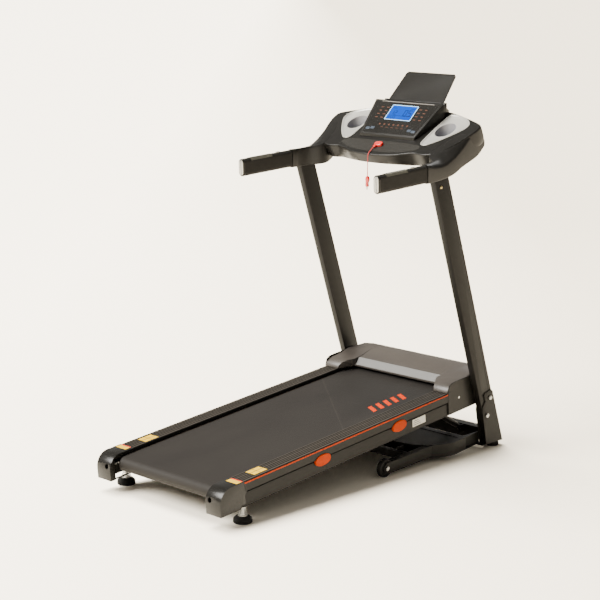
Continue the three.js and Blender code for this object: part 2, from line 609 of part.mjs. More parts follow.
// The side view that the body and arms are trimmed to.
function consoleSide(inset) {
  const under = (y) => 1079 + 0.547 * (y - 1164) + inset;
  return polygon([
    [1040, 1074 + inset], [1110, 1074 + inset], [1168, under(1168)], [1400, under(1400)],
    [1400, 1300], [1040, 1300],
  ]);
}
const dashBody = (inset, topDrop) => dashPrism(dashOutline(inset), -DASH.deep + inset, -topDrop, 5)
  .intersect(sideView(consoleSide(inset), -400, 400));

// Sections across a console arm, from the collar at the grip to the body's front corner: y, the inner side,
// the underside, where the top begins to fall outwards, and the crease where it meets the flank.
const ARM_OUT = 340;
const ARM_SECTIONS = [
  [968.3, 310.5, 1036, 330, 1104, 1098], [1000, 310.5, 1037, 325, 1105, 1094], [1037, 296, 1041, 318, 1109, 1094],
  [1066, 262, 1046, 302, 1116.5, 1099], [1090, 215, 1050, 292, 1130, 1109], [1120, 205, 1058.6, 306, 1146.5, 1124],
  [1158, 205, 1077, 324, 1167, 1150], [1200, 205, 1093, 336, 1189, 1184], [1232, 205, 1105, 337, 1206, 1203],
  [1256, 205, 1118, 337, 1210, 1206], [1284, 205, 1144, 334, 1170, 1166],
];
function consoleArm(sign, inset) {
  const last = ARM_SECTIONS.length - 1;
  const rings = ARM_SECTIONS.map(([y, xIn, low, fall, top, crease], i) => {
    const along = i === 0 && inset ? y - OVER : y - (i === last ? inset : 0);
    return [
      [xIn + inset, low + inset], [ARM_OUT - inset, low + inset], [ARM_OUT - inset, crease - inset],
      [fall - inset, top - inset], [xIn + inset, top - inset],
    ].map(([x, z]) => [sign * x, along, z]);
  });
  return join(...rings.slice(1).map((ring, i) => wasm.Manifold.hull([...rings[i], ...ring])));
}

// The lower shell is open above, where the dash closes it, and below each arm for the upright.
function consoleBase() {
  const shell = join(dashBody(0, DASH.thick + GAP), consoleArm(-1, 0), consoleArm(1, 0));
  const hollow = join(dashBody(WALL, -OVER), consoleArm(-1, WALL), consoleArm(1, WALL));
  const { xIn, xOut, depth } = UPRIGHT;
  const sockets = [-1, 1].map((sign) => {
    const rear = uprightRearAt(1036);
    return box(ordered(sign, xIn - 0.6, xOut + 0.6), [rear - 7, rear + depth + 8], [1016, 1051]);
  });
  const lid = dashPrism(dashOutline(-GAP), -DASH.thick - GAP, 60);
  return cut(shell, hollow, lid, ...sockets);
}

// The tray's teardrop outline on the dash, right-hand side.
function trayOutline(sign, grow) {
  const points = [
    [182, 1128 - grow], [236 + grow, 1172], [282 + grow, 1228], [290 + grow, 1248], [276, 1266 + grow],
    [236, 1286 + grow], [188, 1298 + grow], [170 - grow, 1290], [166 - grow, 1240], [172 - grow, 1140],
  ];
  return polygon(points.map(([x, y]) => [sign * x, onSlope(y)]));
}
const cupBar = (sign, r, z0, z1) => bar([sign * CUP.x, CUP.y, z0], [sign * CUP.x, CUP.y, z1], r, 28);

function consoleTop() {
  const trays = [-1, 1].map((s) => join(
    dashPrism(trayOutline(s, GAP), -2 - GAP, 10),
    cupBar(s, CUP.radius + CUP.wall + GAP, 1100, 1300),
  ));
  return cut(dashPrism(dashOutline(0), -DASH.thick, 0), ...trays);
}

// A silver tray with a plumb-sided cup moulded into it.
function cupTray(sign) {
  const below = dashPrism(roundedRect(900, 900, 5), -400, -1);
  const cup = cupBar(sign, CUP.radius + CUP.wall, CUP.floor - CUP.wall, 1300).intersect(below);
  const plate = dashPrism(trayOutline(sign, 0), -2, 0.6);
  return cut(join(plate, cup), cupBar(sign, CUP.radius, CUP.floor, 1300));
}

// The display stands on the dash as a wedge, wider at the top, with ears for the tablet rest.
const PANEL = { low: [1138.4, 1169], high: [1264, 1286], half: [131, 161] };
const panelWay = new THREE.Vector3(0, PANEL.high[0] - PANEL.low[0], PANEL.high[1] - PANEL.low[1]).normalize();
const panelLong = Math.hypot(PANEL.high[0] - PANEL.low[0], PANEL.high[1] - PANEL.low[1]);
const panelPrism = (shape, low, high) => {
  const up = new THREE.Vector3().crossVectors(X, panelWay);
  return prism(shape, high - low, [0, PANEL.low[0] + up.y * low, PANEL.low[1] + up.z * low], X, panelWay);
};
const SCREEN = { half: 60, low: 78, high: 148, deep: 2 };
function displayHousing() {
  const [[y0, z0], [y1, z1]] = [PANEL.low, PANEL.high];
  const back = 1318;
  const side = polygon([[y0, dashZ(y0) + GAP + 0.4], [back, dashZ(back) + GAP + 0.4], [y1, z1], [y0, z0]]);
  const [h0, h1] = PANEL.half;
  const plan = polygon([[-h0, y0], [h0, y0], [h1, y1], [h1 - 12, back], [12 - h1, back], [-h1, y1]]);
  const body = sideView(side, -200, 200).intersect(planView(plan, 1100, 1400));
  const earSide = polygon([[TABLET.y - 14, 1262], [TABLET.y + 8, 1262], [TABLET.y + 7, TABLET.z + 6],
    [TABLET.y - 6, TABLET.z + 7]]);
  const pocket = roundedRect(2 * SCREEN.half + 2 * GAP, SCREEN.high - SCREEN.low + 2 * GAP, 3, 0,
    (SCREEN.low + SCREEN.high) / 2);
  const ears = [-1, 1].map((s) => sideView(earSide, ...ordered(s, 136, 144)));
  const pinHole = bar([-150, TABLET.y, TABLET.z], [150, TABLET.y, TABLET.z], TABLET.pinR + GAP, 20);
  const hollow = sideView(polygon([[y0 + 14, dashZ(y0 + 14)], [back - 14, dashZ(back - 14)],
    [y1, z1 - 14]]), -110, 110);
  return cut(join(body, ...ears), pinHole, panelPrism(pocket, -SCREEN.deep - GAP, 5), hollow);
}
const displayScreen = () => panelPrism(
  roundedRect(2 * SCREEN.half, SCREEN.high - SCREEN.low, 3, 0, (SCREEN.low + SCREEN.high) / 2),
  -SCREEN.deep, 0.2,
);

// The tablet rest: a thin tapered plate with a ledge at its foot, on two stub pins.
function tabletRest() {
  const way = new THREE.Vector3(0, Math.cos(rad(TABLET.lean)), Math.sin(rad(TABLET.lean)));
  const up = new THREE.Vector3().crossVectors(X, way);
  const at = (low) => [0, TABLET.y + up.y * low, TABLET.z + up.z * low];
  const [h0, h1] = TABLET.half;
  const { tall, thick } = TABLET;
  const plate = polygon([[-h0, -4], [h0, -4], [h1, tall - 8], [h1 - 7, tall], [7 - h1, tall], [-h1, tall - 8]]);
  const ledge = polygon([[-h0, -4], [h0, -4], [h0, 0], [-h0, 0]]);
  return join(
    prism(plate, thick, at(-thick / 2), X, way),
    prism(ledge, 11 - thick / 2, at(thick / 2 - 0.5), X, way),
    bar([-147, TABLET.y, TABLET.z], [147, TABLET.y, TABLET.z], TABLET.pinR, 16),
  );
}

// ---------------------------------------------------------------- handles
const gripWay = new THREE.Vector3(0, HANDLE.frontY - HANDLE.rearY, HANDLE.frontZ - HANDLE.rearZ).normalize();
const gripUp = new THREE.Vector3().crossVectors(X, gripWay);
const gripPoint = (sign, d, h = 0) => [
  sign * HANDLE.x,
  HANDLE.rearY + gripWay.y * d + gripUp.y * h,
  HANDLE.rearZ + gripWay.z * d + gripUp.z * h,
];
// A section across the grip, from d0 to d1 along it.
const gripPrism = (sign, shape, d0, d1, segments = 6) => prism(
  shape, d1 - d0, gripPoint(sign, d1), X, gripUp, segments,
);
const gripSection = (grow) => roundedRect(
  HANDLE.wide + 2 * grow, HANDLE.tall + 2 * grow, HANDLE.wide / 2 + grow - 0.01,
);
const GRIP = { start: 6, end: 253, plate: [38, 150], button: 190, travel: 1.6 };

const CORE = { wide: 14, tall: 38, end: 396, crossZ: [1086, 1102] };
function handleFrame() {
  const { xIn, xOut, depth } = UPRIGHT;
  const side = (sign) => {
    const plugRear = uprightRearAt(1030) + 14;
    const plug = box(ordered(sign, xIn + 4, xOut - 4), [plugRear, plugRear + depth - 34], [1000, 1060]);
    return join(gripPrism(sign, roundedRect(CORE.wide, CORE.tall, 4), 8, CORE.end, 3), plug);
  };
  const [, crossY] = gripPoint(1, CORE.end);
  const cross = box([-HANDLE.x, HANDLE.x], [crossY - 8, crossY + 12], CORE.crossZ);
  const hollow = (sign) => gripPrism(sign, roundedRect(CORE.wide - 4, CORE.tall - 4, 3), 7, 300, 3);
  return cut(join(side(-1), side(1), cross), hollow(-1), hollow(1));
}
function grip(sign) {
  const sleeve = cut(
    gripPrism(sign, gripSection(0), GRIP.start, GRIP.end),
    gripPrism(sign, roundedRect(CORE.wide + 2 * GAP, CORE.tall + 2 * GAP, 4), 0, GRIP.end + 1, 3),
  );
  const well = prism(roundedRect(20, 9, 3), 12, gripPoint(sign, GRIP.button, HANDLE.tall / 2 - 7), gripWay, X.clone().negate());
  return cut(sleeve, well);
}
// The shallow plug that closes the grip's end.
const gripCap = (sign) => join(
  gripPrism(sign, gripSection(0.4), 0, GRIP.start - GAP),
  gripPrism(sign, roundedRect(CORE.wide - 5, CORE.tall - 5, 2), GRIP.start - 1, GRIP.start + 8, 3),
);
const pulsePlate = (sign) => cut(
  gripPrism(sign, gripSection(1.5), ...GRIP.plate),
  gripPrism(sign, gripSection(GAP), GRIP.plate[0] - 1, GRIP.plate[1] + 1),
  prism(roundedRect(300, 80, 1), 100, gripPoint(sign, 100, HANDLE.tall / 2 - 112), gripWay, X.clone().negate()),
);
const handleButton = (sign) => prism(
  roundedRect(18.8, 7.8, 2.5), 7, gripPoint(sign, GRIP.button, HANDLE.tall / 2 - 4.6), gripWay, X.clone().negate(),
);

// ---------------------------------------------------------------- safety key
const keySeat = onSlope(KEY.y);
function safetyKey() {
  const puck = dashPrism(roundedRect(KEY.long, KEY.wide, KEY.wide / 2 - 0.5, 0, keySeat), GAP, KEY.high, 6);
  const tab = dashPrism(roundedRect(12, 14, 4, -8, keySeat - KEY.wide / 2 - 3), 2, 8, 4);
  return join(puck, tab);
}
// The lanyard runs down the dash, over the lip, and hangs plumb to its clip.
const CORD_ROUTE = [
  [-8, 1075.9, 1129.6], [-7.8, 1071.5, 1127.2], [-7, 1064, 1122.6], [-5.8, 1056, 1117.4], [-4.4, 1048, 1112.6],
  [-3.2, 1042, 1106.2], [-2.5, 1039.2, 1098.2], [-2.1, 1038.6, 1088], [-2, 1038.3, 1076], [-2, 1038.2, 1062],
  [-2, 1038.2, 1048], [-2, 1038.2, 1036.5], [-2, 1038.2, 1028],
];
function lanyardCord() {
  const path = new THREE.CatmullRomCurve3(CORD_ROUTE.map((p) => new THREE.Vector3(...p)), false, 'centripetal');
  const section = polygon([0, 1, 2, 3, 4, 5, 6, 7].map((i) => {
    const a = (i * Math.PI) / 4;
    return [CORD.radius * Math.cos(a), CORD.radius * Math.sin(a)];
  }));
  return solidOf(new THREE.ExtrudeGeometry(section, { steps: CORD.steps, extrudePath: path }));
}
function lanyardClip() {
  const [x, y, z] = CORD_ROUTE.at(-1);
  const jaw = polygon([[x - 4, z - 0.8], [x + 4, z - 0.8], [x + 8, z - 10], [x + 7, z - 34], [x + 4, z - 52],
    [x - 4, z - 52], [x - 7, z - 34], [x - 8, z - 10]]);
  return rearView(jaw, y - 5, y + 5);
}

// ================================================================ assembly
add(base, 'base_frame', 'blackPaint', baseFrame());
add(base, 'handle_frame', 'blackPaint', handleFrame());
add(base, 'console_base', 'blackPlastic', consoleBase());
add(base, 'console_top', 'blackPlastic', consoleTop());
add(base, 'display_housing', 'blackPlastic', displayHousing());
add(base, 'display_screen', 'blue', displayScreen());
add(base, 'tablet_rest', 'blackPlastic', tabletRest());
add(base, 'safety_key', 'red', safetyKey());
add(base, 'lanyard_cord', 'red', lanyardCord());
add(base, 'lanyard_clip', 'red', lanyardClip());
add(base, 'strut_cylinder', 'blackPaint', strutCylinder());
add(base, 'strut_rod', 'steel', strutRod());
both((side, sign) => {
  add(base, `${side}_upright`, 'blackPaint', uprightTube(sign));
  add(base, `${side}_upright_bolts`, 'steel', uprightBolts(sign));
  add(base, `${side}_deck_pivot`, 'steel', pivotBolt(sign));
  add(base, `${side}_front_foot`, 'rubber', frontFoot(sign));
  add(base, `${side}_wheel`, 'rubber', wheel(sign));
  add(base, `${side}_wheel_bolt`, 'steel', wheelBolt(sign));
  add(base, `${side}_rear_foot`, 'rubber', rearFoot(sign));
  add(base, `${side}_foot_stud`, 'steel', footStud(sign));
  add(base, `${side}_cup_tray`, 'silver', cupTray(sign));
  add(base, `${side}_grip`, 'foam', grip(sign));
  add(base, `${side}_grip_cap`, 'silver', gripCap(sign));
  add(base, `${side}_pulse_plate`, 'silver', pulsePlate(sign));
  add(base, `${side}_handle_button`, 'silver', handleButton(sign));
  add(deck, `${side}_foot_rail`, 'blackPlastic', footRail(sign));
  add(deck, `${side}_end_cap`, 'blackPlastic', endCap(sign));
  add(deck, `${side}_tension_bolt`, 'steel', tensionBolt(sign));
});
add(deck, 'deck_frame', 'blackPaint', deckFrame());
add(deck, 'running_board', 'wood', box([-BOARD.half, BOARD.half], [BOARD.rear, BOARD.front], [BOARD.low, BOARD.high]));
add(deck, 'running_belt', 'beltPvc', runningBelt());
add(deck, 'front_roller', 'steel', roller(BELT.front, true));
add(deck, 'rear_roller', 'steel', roller(BELT.rear, false));
add(deck, 'front_axle', 'steel', axle(BELT.front, false));
add(deck, 'rear_axle', 'steel', axle(BELT.rear, true));
add(deck, 'drive_motor', 'motorPaint', motor());
add(deck, 'motor_rotor', 'steel', motorRotor());
add(deck, 'drive_belt', 'rubber', driveBelt());
add(deck, 'motor_controller', 'board', controller());
add(deck, 'motor_hood', 'hoodPlastic', motorHood());
add(deck, 'belly_pan', 'blackPlastic', bellyPan());
add(deck, 'power_inlet', 'blackPlastic', powerInlet());
add(deck, 'power_switch_socket', 'blackPlastic', switchSocket());
add(deck, 'power_switch', 'red', switchRocker());

export default treadmill;
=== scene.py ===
"""A folding home treadmill: finished pieces and finishes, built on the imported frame."""
import math

import bmesh
import bpy
from mathutils import Matrix, Vector


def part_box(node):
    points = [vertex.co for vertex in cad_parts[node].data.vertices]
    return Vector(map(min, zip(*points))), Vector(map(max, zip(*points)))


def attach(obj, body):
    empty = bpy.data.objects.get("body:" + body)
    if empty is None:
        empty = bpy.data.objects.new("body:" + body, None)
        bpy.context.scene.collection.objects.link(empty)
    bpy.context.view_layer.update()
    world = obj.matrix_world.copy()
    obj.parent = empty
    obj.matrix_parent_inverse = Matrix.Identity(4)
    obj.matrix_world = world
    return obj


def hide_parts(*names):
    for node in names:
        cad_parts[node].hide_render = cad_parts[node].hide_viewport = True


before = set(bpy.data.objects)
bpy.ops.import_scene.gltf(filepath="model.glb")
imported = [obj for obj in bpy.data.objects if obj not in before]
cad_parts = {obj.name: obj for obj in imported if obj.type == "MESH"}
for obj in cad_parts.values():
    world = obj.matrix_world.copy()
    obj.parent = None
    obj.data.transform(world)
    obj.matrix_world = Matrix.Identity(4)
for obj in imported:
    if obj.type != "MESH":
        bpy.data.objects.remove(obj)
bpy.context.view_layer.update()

bl_info = {
    "name": "Folding treadmill",
    "version": (1, 0, 0),
    "blender": (4, 5, 0),
    "location": "View3D > Sidebar > Treadmill",
    "description": "Builds the finished pieces of a folding home treadmill on its frame",
    "category": "Object",
}

MM = 0.001
SMOOTH = 38  # edges that bend less than this many degrees are shaded smooth
REAR = -725.0  # the rear end caps, in millimetres from the origin along Y
SIDES = (("left", -1), ("right", 1))
UP = (0, 0, 1)


# ---------------------------------------------------------------- places to build on
def spot(x, y, z):
    """A point in metres from millimetres, with y counted from the rear end caps."""
    return Vector((x, y + REAR, z)) * MM


class Plane:
    """A flat place to draw on: a runs along u, b along v, and h stands off the face."""

    def __init__(self, origin, v):
        self.origin = Vector((origin[0], origin[1] + REAR, origin[2]))
        self.u = Vector((1, 0, 0))
        self.v = Vector(v).normalized()
        self.n = self.u.cross(self.v)

    def __call__(self, a, b, h=0.0):
        return (self.origin + self.u * a + self.v * b + self.n * h) * MM


INCLINE = math.radians(5.55)  # of the deck
SLOPE = math.radians(28.8)  # of the dash
DASH_Y, DASH_Z = 1138, 1158  # a point that the sloping dash goes through
deck_at = Plane((0, 5.2, 44), (0, math.cos(INCLINE), math.sin(INCLINE)))
dash_at = Plane((0, DASH_Y, DASH_Z), (0, math.cos(SLOPE), math.sin(SLOPE)))
panel_at = Plane((0, 1138.4, 1169), (0, 125.6, 117))
HOOD_TRIM = Plane((0, 1213, 256), (0, 29, 26))
GRIP_WAY = Vector((0, 273, 15.5)).normalized()
GRIP_UP = Vector((0, -GRIP_WAY.z, GRIP_WAY.y))


def dash_points(points):
    """Plan points (x, y) as places on the dash plane."""
    return [(x, (y - DASH_Y) / math.cos(SLOPE)) for x, y in points]


def flank(sign, x=306.0):
    """The deck's outer side: a runs forward, b up, h outward."""
    return lambda a, b, h=0.0: deck_at(sign * (x + h), a, b)


def grip_at(sign):
    """Across a handle grip: a sideways, b upwards, h forward from the grip's rear end."""
    start = Vector((sign * 325, 712 + REAR, 1055))
    return lambda a, b, h=0.0: (start + Vector((a, 0, 0)) + GRIP_UP * b + GRIP_WAY * h) * MM


# ---------------------------------------------------------------- outlines
def rectangle(x0, y0, x1, y1):
    """The outline of a plain rectangle between two opposite corners."""
    return [(x0, y0), (x1, y0), (x1, y1), (x0, y1)]


def smooth_loop(points, per=6):
    """A closed curve through the points."""
    count, out = len(points), []
    for i in range(count):
        p0, p1, p2, p3 = (Vector(points[(i + k) % count]) for k in (-1, 0, 1, 2))
        for step in range(per):
            t = step / per
            out.append(tuple(0.5 * (2 * p1 + (p2 - p0) * t + (2 * p0 - 5 * p1 + 4 * p2 - p3) * t * t
                                    + (3 * p1 - p0 - 3 * p2 + p3) * t ** 3)))
    return out


def smooth_line(points, per=10):
    """An open curve through the points, spaced by their distance."""
    pts = [Vector(p) for p in points]
    pts = [2 * pts[0] - pts[1]] + pts + [2 * pts[-1] - pts[-2]]
    out = []
    for p0, p1, p2, p3 in zip(pts, pts[1:], pts[2:], pts[3:]):
        t0 = 0.0
        t1 = t0 + (p1 - p0).length ** 0.5
        t2 = t1 + (p2 - p1).length ** 0.5
        t3 = t2 + (p3 - p2).length ** 0.5
        for step in range(per):
            t = t1 + (t2 - t1) * step / per
            a1 = (p0 * (t1 - t) + p1 * (t - t0)) / (t1 - t0)
            a2 = (p1 * (t2 - t) + p2 * (t - t1)) / (t2 - t1)
            a3 = (p2 * (t3 - t) + p3 * (t - t2)) / (t3 - t2)
            b1 = (a1 * (t2 - t) + a2 * (t - t0)) / (t2 - t0)
            b2 = (a2 * (t3 - t) + a3 * (t - t1)) / (t3 - t1)
            out.append((b1 * (t2 - t) + b2 * (t - t1)) / (t2 - t1))
    return out + [pts[-2]]


def mirrored(points):
    """The right half of an outline, from the middle round to the middle, and its mirror image."""
    return list(points) + [(-x, y) for x, y in reversed(points) if abs(x) > 0.01]


def rounded_rect(width, height, radius, cx=0.0, cy=0.0, steps=6):
    w, h, out = width / 2 - radius, height / 2 - radius, []
    for i, (x, y) in enumerate(((w, h), (-w, h), (-w, -h), (w, -h))):
        for k in range(steps + 1):
            t = math.pi / 2 * (i + k / steps)
            out.append((cx + x + radius * math.cos(t), cy + y + radius * math.sin(t)))
    return out


def rounded_corners(corners, radii, steps=4):
    """A polygon whose corners are rounded, each by its own reach along the sides."""
    loop = []
    for k, (corner, reach) in enumerate(zip(corners, radii)):
        middle = Vector(corner)
        back = Vector(corners[k - 1]) - middle
        ahead = Vector(corners[(k + 1) % len(corners)]) - middle
        start = middle + back.normalized() * min(reach, back.length * 0.48)
        end = middle + ahead.normalized() * min(reach, ahead.length * 0.48)
        for i in range(steps + 1):
            t = i / steps
            loop.append(tuple(start * (1 - t) ** 2 + middle * (2 * t * (1 - t)) + end * t * t))
    return loop


def oval(width, height, cx=0.0, cy=0.0, count=40, power=2.0):
    out = []
    for k in range(count):
        c, s = math.cos(2 * math.pi * k / count), math.sin(2 * math.pi * k / count)
        out.append((cx + width / 2 * math.copysign(abs(c) ** (2 / power), c),
                    cy + height / 2 * math.copysign(abs(s) ** (2 / power), s)))
    return out


def inset(outline, distance):
    """The outline moved inwards; it runs anticlockwise."""
    if abs(distance) < 1e-6:
        return list(outline)
    area = sum(p[0] * q[1] - q[0] * p[1] for p, q in zip(outline, outline[1:] + outline[:1]))
    turn = 1 if area > 0 else -1
    out = []
    for i, p in enumerate(outline):
        before, after = Vector(outline[i - 1]), Vector(outline[(i + 1) % len(outline)])
        here = Vector(p)
        e0, e1 = here - before, after - here
        n0 = Vector((-e0.y, e0.x)).normalized() if e0.length > 1e-6 else Vector((0, 0))
        n1 = Vector((-e1.y, e1.x)).normalized() if e1.length > 1e-6 else n0
        n = (n0 + n1)
        n = n.normalized() if n.length > 1e-6 else n1
        reach = distance / max(0.5, n.dot(n1))
        out.append(tuple(here + n * reach * turn))
    return out


def rounded_edge(radius, top, steps=4):
    """Ring steps (inset, height) that turn a rounded edge from the side to the top."""
    quarter = [math.pi / 2 * k / steps for k in range(steps + 1)]
    return [(radius * (1 - math.cos(t)), top - radius + radius * math.sin(t)) for t in quarter]


# ---------------------------------------------------------------- meshes
def add_rings(bm, rings, ends=(True, True)):
    """A skin over closed rings with the same number of points, with its ends closed unless told otherwise."""
    rows = [[bm.verts.new(p) for p in ring] for ring in rings]
    count = len(rows[0])
    for low, high in zip(rows, rows[1:]):
        for i in range(count):
            j = (i + 1) % count
            bm.faces.new((low[i], low[j], high[j], high[i]))
    if ends[0]:
        bm.faces.new(list(reversed(rows[0])))
    if ends[1]:
        bm.faces.new(rows[-1])
    return rows


def add_slab(bm, outline, steps, place):
    """An outline pulled through (inset, height) steps on a place."""
    add_rings(bm, [[place(a, b, h) for a, b in inset(outline, d)] for d, h in steps])


def add_turned(bm, profile, centre, axis, sides=48):
    """A turned body: the profile is (radius, distance) pairs in millimetres from the centre."""
    turn = Vector(UP).rotation_difference(Vector(axis).normalized()).to_matrix()
    rings = []
    for r, d in profile:
        ring = [Vector((r * math.cos(2 * math.pi * k / sides), r * math.sin(2 * math.pi * k / sides), d))
                for k in range(sides)]
        rings.append([centre + turn @ p * MM for p in ring])
    add_rings(bm, rings)


def add_tube(bm, path, radius, sides=10):
    """A round wire along the points of a path."""
    rings, side = [], None
    for i, p in enumerate(path):
        way = (path[min(i + 1, len(path) - 1)] - path[max(i - 1, 0)]).normalized()
        if side is None:
            side = way.orthogonal().normalized()
        side = (side - way * side.dot(way)).normalized()
        up = way.cross(side)
        rings.append([p + (side * math.cos(2 * math.pi * k / sides) + up * math.sin(2 * math.pi * k / sides))
                      * radius * MM for k in range(sides)])
    add_rings(bm, rings)


def make_piece(bm, name, look, body, angle=SMOOTH, stands_for=()):
    """Turns a bmesh into a piece that has a finish and rides on a body."""
    bmesh.ops.remove_doubles(bm, verts=bm.verts, dist=1e-6)
    bmesh.ops.recalc_face_normals(bm, faces=bm.faces)
    mesh = bpy.data.meshes.new(name)
    bm.to_mesh(mesh)
    bm.free()
    mesh.polygons.foreach_set("use_smooth", [True] * len(mesh.polygons))
    mesh.set_sharp_from_angle(angle=math.radians(angle))
    piece = bpy.data.objects.new(name, mesh)
    bpy.context.scene.collection.objects.link(piece)
    piece.data.materials.append(finish(look))
    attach(piece, body)
    if stands_for:
        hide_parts(*stands_for)
    return piece


def slab_piece(name, look, body, slabs, angle=SMOOTH, stands_for=()):
    """A piece made of slabs, each given by its outline, steps and place."""
    bm = bmesh.new()
    for outline, steps, place in slabs:
        add_slab(bm, outline, steps, place)
    return make_piece(bm, name, look, body, angle, stands_for)


def turned_piece(name, look, body, turns, angle=SMOOTH, stands_for=()):
    """A piece made of turned bodies, each given by its profile, centre, axis and sides."""
    bm = bmesh.new()
    for profile, centre, axis, sides in turns:
        add_turned(bm, profile, centre, axis, sides)
    return make_piece(bm, name, look, body, angle, stands_for)


def carve(piece, cutters):
    """Cuts closed meshes out of a piece and keeps the result as its mesh."""
    for cutter in cutters:
        tool = bpy.data.objects.new("cutter", cutter)
        bpy.context.scene.collection.objects.link(tool)
        step = piece.modifiers.new("cut", "BOOLEAN")
        step.operation, step.solver, step.object = "DIFFERENCE", "EXACT", tool
        bpy.context.view_layer.update()
        shaped = piece.evaluated_get(bpy.context.evaluated_depsgraph_get())
        mesh = bpy.data.meshes.new_from_object(shaped)
        piece.modifiers.clear()
        piece.data = mesh
        bpy.data.objects.remove(tool)
    piece.data.polygons.foreach_set("use_smooth", [True] * len(piece.data.polygons))
    piece.data.set_sharp_from_angle(angle=math.radians(SMOOTH))


def cutter_mesh(build):
    """A closed mesh to cut with, from a function that fills a bmesh."""
    bm = bmesh.new()
    build(bm)
    bmesh.ops.recalc_face_normals(bm, faces=bm.faces)
    mesh = bpy.data.meshes.new("cutter")
    bm.to_mesh(mesh)
    bm.free()
    return mesh


def slab_cutter(outline, depth, place):
    """A cutter that reaches the same depth above and below a place."""
    return cutter_mesh(lambda bm: add_slab(bm, outline, [(0, -depth), (0, depth)], place))


def rounding_group():
    """A modifier group that shades a frame node smooth, with its true corners left sharp."""
    group = bpy.data.node_groups.get("soft_shading")
    if group:
        return group
    group = bpy.data.node_groups.new("soft_shading", "GeometryNodeTree")
    group.interface.new_socket("Geometry", in_out="INPUT", socket_type="NodeSocketGeometry")
    group.interface.new_socket("Geometry", in_out="OUTPUT", socket_type="NodeSocketGeometry")
    make, link = group.nodes.new, group.links.new
    start, end = make("NodeGroupInput"), make("NodeGroupOutput")
    faces, edges = make("GeometryNodeSetShadeSmooth"), make("GeometryNodeSetShadeSmooth")
    faces.domain, edges.domain = "FACE", "EDGE"
    bend, under = make("GeometryNodeInputMeshEdgeAngle"), make("FunctionNodeCompare")
    under.operation = "LESS_THAN"
    under.inputs["B"].default_value = math.radians(33)
    link(start.outputs[0], faces.inputs["Geometry"])
    link(faces.outputs[0], edges.inputs["Geometry"])
    link(bend.outputs["Unsigned Angle"], under.inputs["A"])
    link(under.outputs[0], edges.inputs["Shade Smooth"])
    link(edges.outputs[0], end.inputs[0])
    return group


def dress(node, look, rounding=0.0, steps=2):
    """Gives a frame node its finish, rounded edges and soft shading."""
    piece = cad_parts[node]
    piece.data.materials.clear()
    piece.data.materials.append(finish(look))
    weld = piece.modifiers.new("weld", "WELD")
    weld.merge_threshold = 2e-5
    if rounding:
        edge = piece.modifiers.new("edge", "BEVEL")
        edge.width, edge.segments = rounding * MM, steps
        edge.limit_method, edge.angle_limit = "ANGLE", math.radians(34)
    shade = piece.modifiers.new("shade", "NODES")
    shade.node_group = rounding_group()


# ---------------------------------------------------------------- finishes
class Value:
    """A shader value that takes part in ordinary arithmetic."""

    def __init__(self, tree, socket):
        self.tree, self.socket = tree, socket

    def _maths(self, operation, *terms):
        node = self.tree.nodes.new("ShaderNodeMath")
        node.operation = operation
        for slot, term in zip(node.inputs, terms):
            if isinstance(term, Value):
                self.tree.links.new(term.socket, slot)
            else:
                slot.default_value = term
        return Value(self.tree, node.outputs[0])

    def __add__(self, other):
        return self._maths("ADD", self, other)

    __radd__ = __add__

    def __sub__(self, other):
        return self._maths("SUBTRACT", self, other)

    def __rsub__(self, other):
        return self._maths("SUBTRACT", other, self)

    def __mul__(self, other):
        return self._maths("MULTIPLY", self, other)

    __rmul__ = __mul__

    def __mod__(self, other):
        return self._maths("FLOORED_MODULO", self, other)

    def __lt__(self, other):
        return self._maths("LESS_THAN", self, other)

    def __gt__(self, other):
        return self._maths("GREATER_THAN", self, other)

    def __abs__(self):
        return self._maths("ABSOLUTE", self)

    def sine(self):
        return self._maths("SINE", self)


class Finish:
    """A material and its node tree. Positions are in metres, as the piece stands at rest."""

    def __init__(self, name, **constants):
        self.material = bpy.data.materials.new(name)
        self.material.use_nodes = True
        self.tree = self.material.node_tree
        self.shader = self.tree.nodes["Principled BSDF"]
        for socket, value in constants.items():
            self.shader.inputs[socket.replace("_", " ")].default_value = value

    def node(self, kind, settings=None, sockets=None, output=0):
        """Adds a node: its settings first, then its sockets' values or links."""
        made = self.tree.nodes.new(kind)
        for key, value in (settings or {}).items():
            setattr(made, key, value)
        for key, value in (sockets or {}).items():
            if isinstance(value, Value):
                self.tree.links.new(value.socket, made.inputs[key])
            else:
                made.inputs[key].default_value = value
        return Value(self.tree, made.outputs[output])

    def feed(self, socket, value):
        self.tree.links.new(value.socket, self.shader.inputs[socket])

    def place(self):
        return self.node("ShaderNodeTexCoord", output="Object")

    def axes(self):
        split = self.node("ShaderNodeSeparateXYZ", sockets={0: self.place()})
        outputs = split.socket.node.outputs
        return [Value(self.tree, outputs[k]) for k in range(3)]

    def stretched(self, scale):
        return self.node("ShaderNodeVectorMath", {"operation": "MULTIPLY"}, {0: self.place(), 1: scale})

    def facing_up(self):
        normal = self.node("ShaderNodeNewGeometry", output="Normal")
        return self.node("ShaderNodeSeparateXYZ", sockets={"Vector": normal}, output="Z")

    def noise(self, scale, detail=2.0, vector=None):
        sockets = {"Scale": scale, "Detail": detail, "Vector": vector or self.place()}
        return self.node("ShaderNodeTexNoise", sockets=sockets)

    def mix(self, factor, a, b):
        """A colour between two colours."""
        return self.node("ShaderNodeMix", {"data_type": "RGBA"}, {0: factor, 6: a, 7: b}, output=2)

    def bump(self, height, strength, distance):
        """Distance is in millimetres."""
        self.feed("Normal", self.node("ShaderNodeBump", sockets={
            "Strength": strength, "Distance": distance * MM, "Height": height}))


def rgb(hex_colour):
    """A linear colour from a screen colour."""
    parts = [int(hex_colour[i:i + 2], 16) / 255 for i in (0, 2, 4)]
    linear = [c / 12.92 if c < 0.04045 else ((c + 0.055) / 1.055) ** 2.4 for c in parts]
    return tuple(linear) + (1.0,)


def shade(colour, factor):
    return tuple(min(1.0, c * factor) for c in colour[:3]) + (1.0,)


